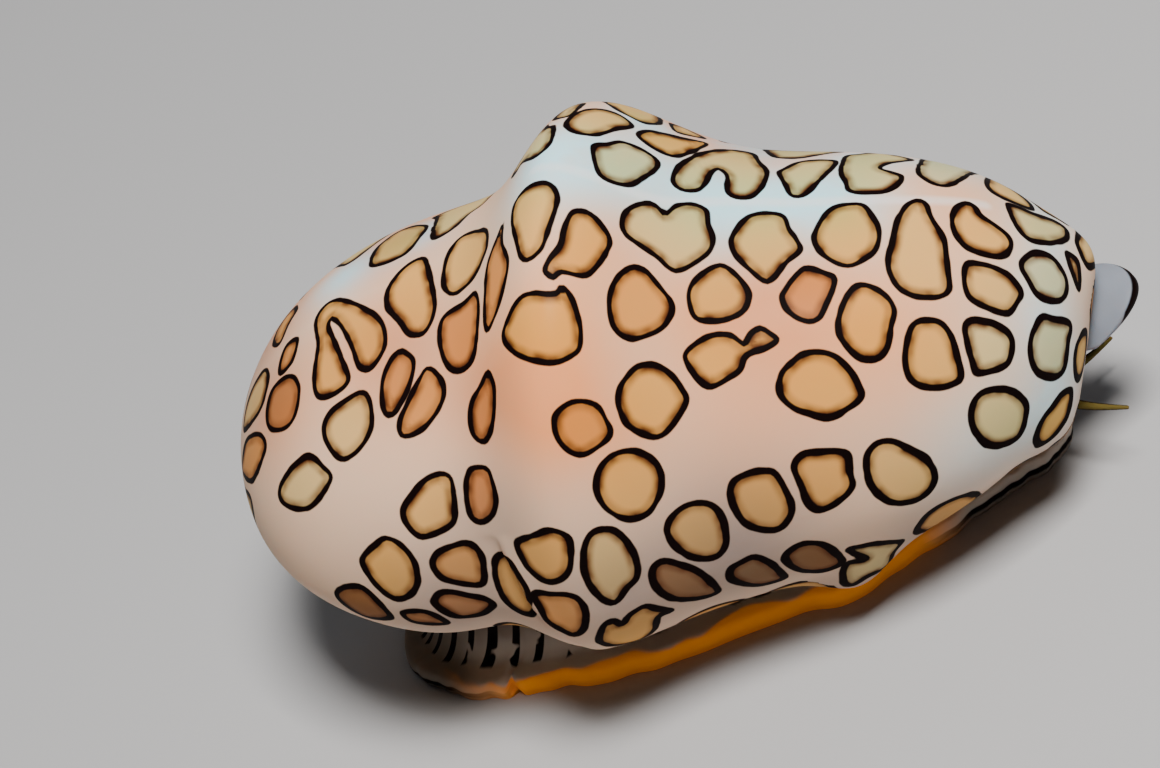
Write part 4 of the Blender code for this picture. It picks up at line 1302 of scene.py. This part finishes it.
# %% The siphon's material
SIPHON_GREY = (0.31, 0.34, 0.39, 1.0)
SIPHON_DEEP = (0.15, 0.17, 0.21, 1.0)
SIPHON_LINE = (0.17, 0.25)


def siphon_material():
    """Make the siphon's skin: pale grey with a black margin."""
    material, tree, shader, mottling = wet_skin("siphon skin", roughness=0.35, glow=0.5, glow_depth=0.8)
    skin = mix_colors(tree, mottling["Cloud"], SIPHON_DEEP, SIPHON_GREY)
    line = fade_out(tree, read_number(tree, "margin"), *SIPHON_LINE)
    skin = mix_colors(tree, line, skin, LINE_COLOR)
    tree.links.new(skin, shader.inputs["Base Color"])
    return material


siphon.data.materials.append(siphon_material())

# %% [markdown]
# ## The head and its tentacles
# The head is a short, blunt snout with a slit of a mouth. A tentacle grows from each side, with an
# eye at its root. Each tentacle follows a path, so Geometry Nodes sweep a circle along a curve and
# narrow it toward the tip. Then the tentacles and the head are fused and smoothed into one skin.

# %% A tree that sweeps a tapering tube along a path
TUBE_SOCKETS = {
    "Root Radius": ("NodeSocketFloat", 0.27 * MM),
    "Tip Radius": ("NodeSocketFloat", 0.08 * MM),
    "Sides": ("NodeSocketInt", 24),
}
TUBE_STEPS = 60


def build_taper_tree():
    """Build the Geometry Nodes tree: a curve in, a tapering tube with a round tip out."""
    tree = bpy.data.node_groups.new("tapering tube", "GeometryNodeTree")
    face = tree.interface
    face.new_socket("Geometry", in_out="INPUT", socket_type="NodeSocketGeometry")
    for name, (kind, value) in TUBE_SOCKETS.items():
        face.new_socket(name, in_out="INPUT", socket_type=kind).default_value = value
    face.new_socket("Material", in_out="INPUT", socket_type="NodeSocketMaterial")
    face.new_socket("Geometry", in_out="OUTPUT", socket_type="NodeSocketGeometry")
    given = tree.nodes.new("NodeGroupInput").outputs
    end = tree.nodes.new("NodeGroupOutput")
    share = put(tree, "GeometryNodeSplineParameter").outputs["Factor"]
    radii = {"Value": share, "To Min": given["Root Radius"], "To Max": given["Tip Radius"]}
    radius = put(tree, "ShaderNodeMapRange", radii).outputs["Result"]
    fine = put(tree, "GeometryNodeResampleCurve", {"Count": TUBE_STEPS, "Curve": given["Geometry"]})
    circle = {"Radius": 1.0, "Resolution": given["Sides"]}
    ring = put(tree, "GeometryNodeCurvePrimitiveCircle", circle).outputs["Curve"]
    parts = {"Fill Caps": True, "Curve": fine.outputs["Curve"], "Profile Curve": ring, "Scale": radius}
    tube = put(tree, "GeometryNodeCurveToMesh", parts).outputs["Mesh"]
    real = put(tree, "GeometryNodeRealizeInstances", {"Geometry": tube}).outputs["Geometry"]
    painted = put(tree, "GeometryNodeSetMaterial", {"Geometry": real, "Material": given["Material"]})
    tree.links.new(painted.outputs["Geometry"], end.inputs["Geometry"])
    return tree


TAPER_TREE = build_taper_tree()

# %% The head
HEAD_CENTRE = np.array((11.1, 0.6, 2.4))
HEAD_RADII = np.array((2.0, 1.5, 1.0))
SNOUT_REACH = 0.45
SNOUT_NARROWING = 0.34
SNOUT_POWERS = (2, 3, 6)
MOUTH_DEPTH = 0.25
MOUTH_WIDTH = 0.28
TENTACLE_RADII = (0.27, 0.08)
TENTACLE_LENGTH = 3.0
TENTACLE_SAG = 0.12
TENTACLE_ROOT_TURN = {"right": radians(-35), "left": radians(32)}
TENTACLE_ROOT_RISE = {"right": radians(20), "left": radians(-12)}
TENTACLE_TURN = {"right": radians(-29), "left": radians(38)}
TENTACLE_RISE = {"right": radians(0), "left": radians(-6)}
HEAD_AROUND = 120
HEAD_RINGS = 89


def head_points(along, around):
    """Place points of the head, along its length from -1 to 1 and around it."""
    girth = np.sqrt(np.maximum(0.0, 1.0 - along ** 2))
    ahead = np.maximum(along, 0.0)
    narrow = 1.0 - SNOUT_NARROWING * ahead ** SNOUT_POWERS[0]
    x = along * HEAD_RADII[0] + SNOUT_REACH * ahead ** SNOUT_POWERS[1]
    y = girth * np.cos(around) * HEAD_RADII[1] * narrow
    z = girth * np.sin(around) * HEAD_RADII[2] * narrow
    x = x - MOUTH_DEPTH * bump(y, MOUTH_WIDTH) * ahead ** SNOUT_POWERS[2]
    return np.column_stack((x, y, z)) + HEAD_CENTRE


def direction(turn, rise):
    """Give a direction: turned from +X toward +Y, and raised."""
    return np.array((cos(turn) * cos(rise), sin(turn) * cos(rise), sin(rise)))


head_rings = np.sin(np.linspace(-pi / 2, pi / 2, HEAD_RINGS + 2)[1:-1])
head_turns = np.arange(HEAD_AROUND) * 2 * pi / HEAD_AROUND
head_net = head_points(*net_places(head_rings, head_turns))
head = mesh_object("head_skin", head_net, ring_net(HEAD_RINGS, HEAD_AROUND))
head_tree = BVHTree.FromObject(head, bpy.context.evaluated_depsgraph_get())


def on_head(toward):
    """Find where a direction from the head's middle leaves the head."""
    return np.array(head_tree.ray_cast(Vector(HEAD_CENTRE * MM), Vector(toward))[0]) / MM


# %% The tentacles
PATH_POINTS = 12
ROOT_SUNK = 0.35
HEAD_VOXEL = 0.055
SOFTENING = 0.5
SOFTENINGS = 6


def tentacle_path(side):
    """Give the points of one tentacle's middle line, from inside the head to the tip."""
    outward = direction(TENTACLE_ROOT_TURN[side], TENTACLE_ROOT_RISE[side])
    toward = direction(TENTACLE_TURN[side], TENTACLE_RISE[side])
    bent = np.linalg.norm(np.cross(outward, toward))
    root = on_head(outward) + outward * (TOUCH_GAP + TENTACLE_RADII[0] * bent)
    shares = np.linspace(0.0, 1.0, PATH_POINTS)
    path = root + toward * TENTACLE_LENGTH * shares[:, None]
    path[:, 2] -= TENTACLE_SAG * np.sin(pi * shares)
    return np.vstack((root - (outward + toward) * ROOT_SUNK, path))


def sweep(name, path, radii):
    """Sweep a tapering tube along a path with the Geometry Nodes tree, as a plain mesh."""
    line = bpy.data.curves.new(name + "_path", "CURVE")
    line.dimensions = "3D"
    spline = line.splines.new("POLY")
    spline.points.add(len(path) - 1)
    for point, place in zip(spline.points, path * MM):
        point.co = (*place, 1.0)
    carrier = add_object(name + "_path", line)
    modifier = carrier.modifiers.new("taper", "NODES")
    modifier.node_group = TAPER_TREE
    inputs = [item for item in TAPER_TREE.interface.items_tree if item.in_out == "INPUT"]
    sockets = {item.name: item.identifier for item in inputs}
    modifier[sockets["Root Radius"]] = radii[0] * MM
    modifier[sockets["Tip Radius"]] = radii[1] * MM
    swept = carrier.evaluated_get(bpy.context.evaluated_depsgraph_get())
    mesh = bpy.data.meshes.new_from_object(swept)
    bpy.data.objects.remove(carrier)
    return add_object(name, mesh)


def remesh_together(target, others, voxel):
    """Fuse closed meshes into one skin of small even faces."""
    fused = bmesh.new()
    for piece in (target, *others):
        fused.from_mesh(piece.data)
    fused.to_mesh(target.data)
    fused.free()
    for piece in others:
        bpy.data.objects.remove(piece)
    remesh = target.modifiers.new("fuse", "REMESH")
    remesh.mode = "VOXEL"
    remesh.voxel_size = voxel * MM
    soften = target.modifiers.new("soften", "SMOOTH")
    soften.factor = SOFTENING
    soften.iterations = SOFTENINGS
    finished = target.evaluated_get(bpy.context.evaluated_depsgraph_get())
    mesh = bpy.data.meshes.new_from_object(finished)
    target.modifiers.clear()
    target.data = mesh
    mesh.shade_smooth()


SIDES = ("right", "left")
tentacles = [sweep("tentacle_" + side, tentacle_path(side), TENTACLE_RADII) for side in SIDES]
remesh_together(head, tentacles, HEAD_VOXEL)
print("head skin", len(head.data.polygons), "faces")

# %% The head's material
HEAD_TAN = (0.40, 0.30, 0.17, 1.0)
HEAD_OLIVE = (0.11, 0.085, 0.022, 1.0)
HEAD_ORANGE = (0.62, 0.26, 0.05, 1.0)
HEAD_CLOUDS = (0.4, 0.6)
BAR_STRETCH = (0.15, 1.0, 0.6)
BAR_VALUES = {"Scale": 1900.0, "Detail": 1.0}
BAR_EDGES = (0.57, 0.61)
STRIP_EDGES = (0.55, 0.8)
TENTACLE_ROOM = 1.5
TENTACLE_START = -0.1


def mark_tentacles():
    """Tell each point of the head how far it is up or down across a tentacle, for the black lines."""
    count = len(head.data.vertices)
    points = np.zeros(count * 3, np.float32)
    head.data.vertices.foreach_get("co", points)
    points = points.reshape(-1, 3) / MM
    strip = np.zeros(count)
    out = np.zeros(count)
    for side in SIDES:
        path = tentacle_path(side)[1:]
        toward = direction(TENTACLE_TURN[side], TENTACLE_RISE[side])
        nearest = np.linalg.norm(points[:, None] - path[None], axis=2).argmin(axis=1)
        radius = np.interp(nearest, (0, PATH_POINTS - 1), TENTACLE_RADII)
        from_path = points - path[nearest]
        from_path -= (from_path @ toward)[:, None] * toward
        away = np.linalg.norm(from_path, axis=1)
        on_it = (away < radius * TENTACLE_ROOM) & ((points - path[0]) @ toward > TENTACLE_START)
        upward = UP - (UP @ toward) * toward
        upward /= np.linalg.norm(upward)
        strip[on_it] = np.abs(from_path[on_it] @ upward) / radius[on_it]
        out[on_it] = 1.0
    keep(head, "strip", strip)
    keep(head, "out", out)


def head_material():
    """Make the head's skin: tan with dark bars, and olive tentacles with a black line on each edge."""
    material, tree, shader, mottling = wet_skin("head skin", roughness=0.35, glow=0.3, glow_depth=0.4)
    skin = mix_colors(tree, fade(tree, mottling["Cloud"], *HEAD_CLOUDS), HEAD_TAN, HEAD_ORANGE)
    stretched = put(tree, "ShaderNodeMapping", {"Scale": BAR_STRETCH, "Vector": own_place(tree)})
    bars = put(tree, "ShaderNodeTexNoise", {"Vector": stretched.outputs[0], **BAR_VALUES})
    skin = mix_colors(tree, fade(tree, bars.outputs["Fac"], *BAR_EDGES), skin, LINE_COLOR)
    line = fade(tree, read_number(tree, "strip"), *STRIP_EDGES)
    tentacle = mix_colors(tree, line, HEAD_OLIVE, LINE_COLOR)
    skin = mix_colors(tree, read_number(tree, "out"), skin, tentacle)
    tree.links.new(skin, shader.inputs["Base Color"])
    return material


mark_tentacles()
head.data.materials.append(head_material())

# %% [markdown]
# ## The eyes
# The eyes stay separate: small glossy black beads, set half into the head beside each tentacle.
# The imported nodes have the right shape, so they keep it and only get a better material.

# %% The eyes
EYE_VALUES = {"Roughness": 0.08, "Coat Weight": 1.0, "Coat Roughness": 0.03}
EYE_BLACK = (0.004, 0.003, 0.003, 1.0)
EYE_BROWN = (0.03, 0.018, 0.01, 1.0)
EYE_CLOUD = 3000.0


def eye_material():
    """Make the glossy black of an eye, with faint brown clouds."""
    material, tree, shader = new_material("eye", EYE_VALUES)
    cloud = put(tree, "ShaderNodeTexNoise", {"Scale": EYE_CLOUD, "Vector": own_place(tree)})
    color = mix_colors(tree, cloud.outputs["Fac"], EYE_BLACK, EYE_BROWN)
    tree.links.new(color, shader.inputs["Base Color"])
    return material


eye_finish = eye_material()
for side in SIDES:
    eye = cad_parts["eye_" + side]
    eye.data.materials.clear()
    eye.data.materials.append(eye_finish)

# %% [markdown]
# ## What stands for what
# Each skin rides on the one body and stands for the imported nodes that it covers.

# %% Join the skins to the model
LENGTHS = ("rear", "hump", "front")
MANTLE_NODES = ["mantle_%s_%s" % (side, length) for side in SIDES for length in LENGTHS]
FOOT_NODES = ["foot_rear", "foot_middle", "foot_front"]
HEAD_NODES = ["head", "tentacle_right", "tentacle_left"]
for piece, slot_name, nodes in (
    (mantle, "mantle", MANTLE_NODES),
    (foot, "foot", FOOT_NODES),
    (siphon, "siphon", ["siphon"]),
    (head, "head", HEAD_NODES),
):
    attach(piece, "root")
    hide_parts(*nodes)
    print(piece.name, "stands for", ", ".join(nodes))

# %% [markdown]
# ## Floor and light
# The floor is plain and pale. One large soft light stands high in front, to the right, a cool one
# is above and behind, and a pale world fills the shadows. Each row of a light gives its place, its
# size in millimetres, its power and its colour.

# %% Floor
FLOOR_HALF = 400.0
FLOOR_VALUES = {"Base Color": (0.45, 0.45, 0.46, 1.0), "Roughness": 0.8}
floor_mesh = bpy.data.meshes.new("floor")
corners = [(x * FLOOR_HALF * MM, y * FLOOR_HALF * MM, 0.0) for x, y in ((-1, -1), (1, -1), (1, 1), (-1, 1))]
floor_mesh.from_pydata(corners, [], [(0, 1, 2, 3)])
floor = add_object("floor", floor_mesh)
floor_mesh.materials.append(new_material("pale paper", FLOOR_VALUES)[0])

# %% Lights
LIGHTS = {
    "key light": ((46, -66, 216), 70, 0.92, (1.0, 0.97, 0.93)),
    "sky light": ((-60, 110, 190), 140, 0.05, (0.75, 0.88, 1.0)),
}
LIGHT_TARGET = Vector((0, 0, 8))
WORLD_COLOR = (0.80, 0.86, 0.95, 1.0)
WORLD_STRENGTH = 0.03
for name, (place, size, power, color) in LIGHTS.items():
    light = bpy.data.lights.new(name, "AREA")
    light.size = size * MM
    light.energy = power
    light.color = color
    lamp = add_object(name, light)
    lamp.location = Vector(place) * MM
    lamp.rotation_euler = (LIGHT_TARGET - Vector(place)).to_track_quat("-Z", "Y").to_euler()
world = bpy.data.worlds.new("pale room")
world.use_nodes = True
background = world.node_tree.nodes["Background"]
background.inputs["Color"].default_value = WORLD_COLOR
background.inputs["Strength"].default_value = WORLD_STRENGTH
bpy.context.scene.world = world
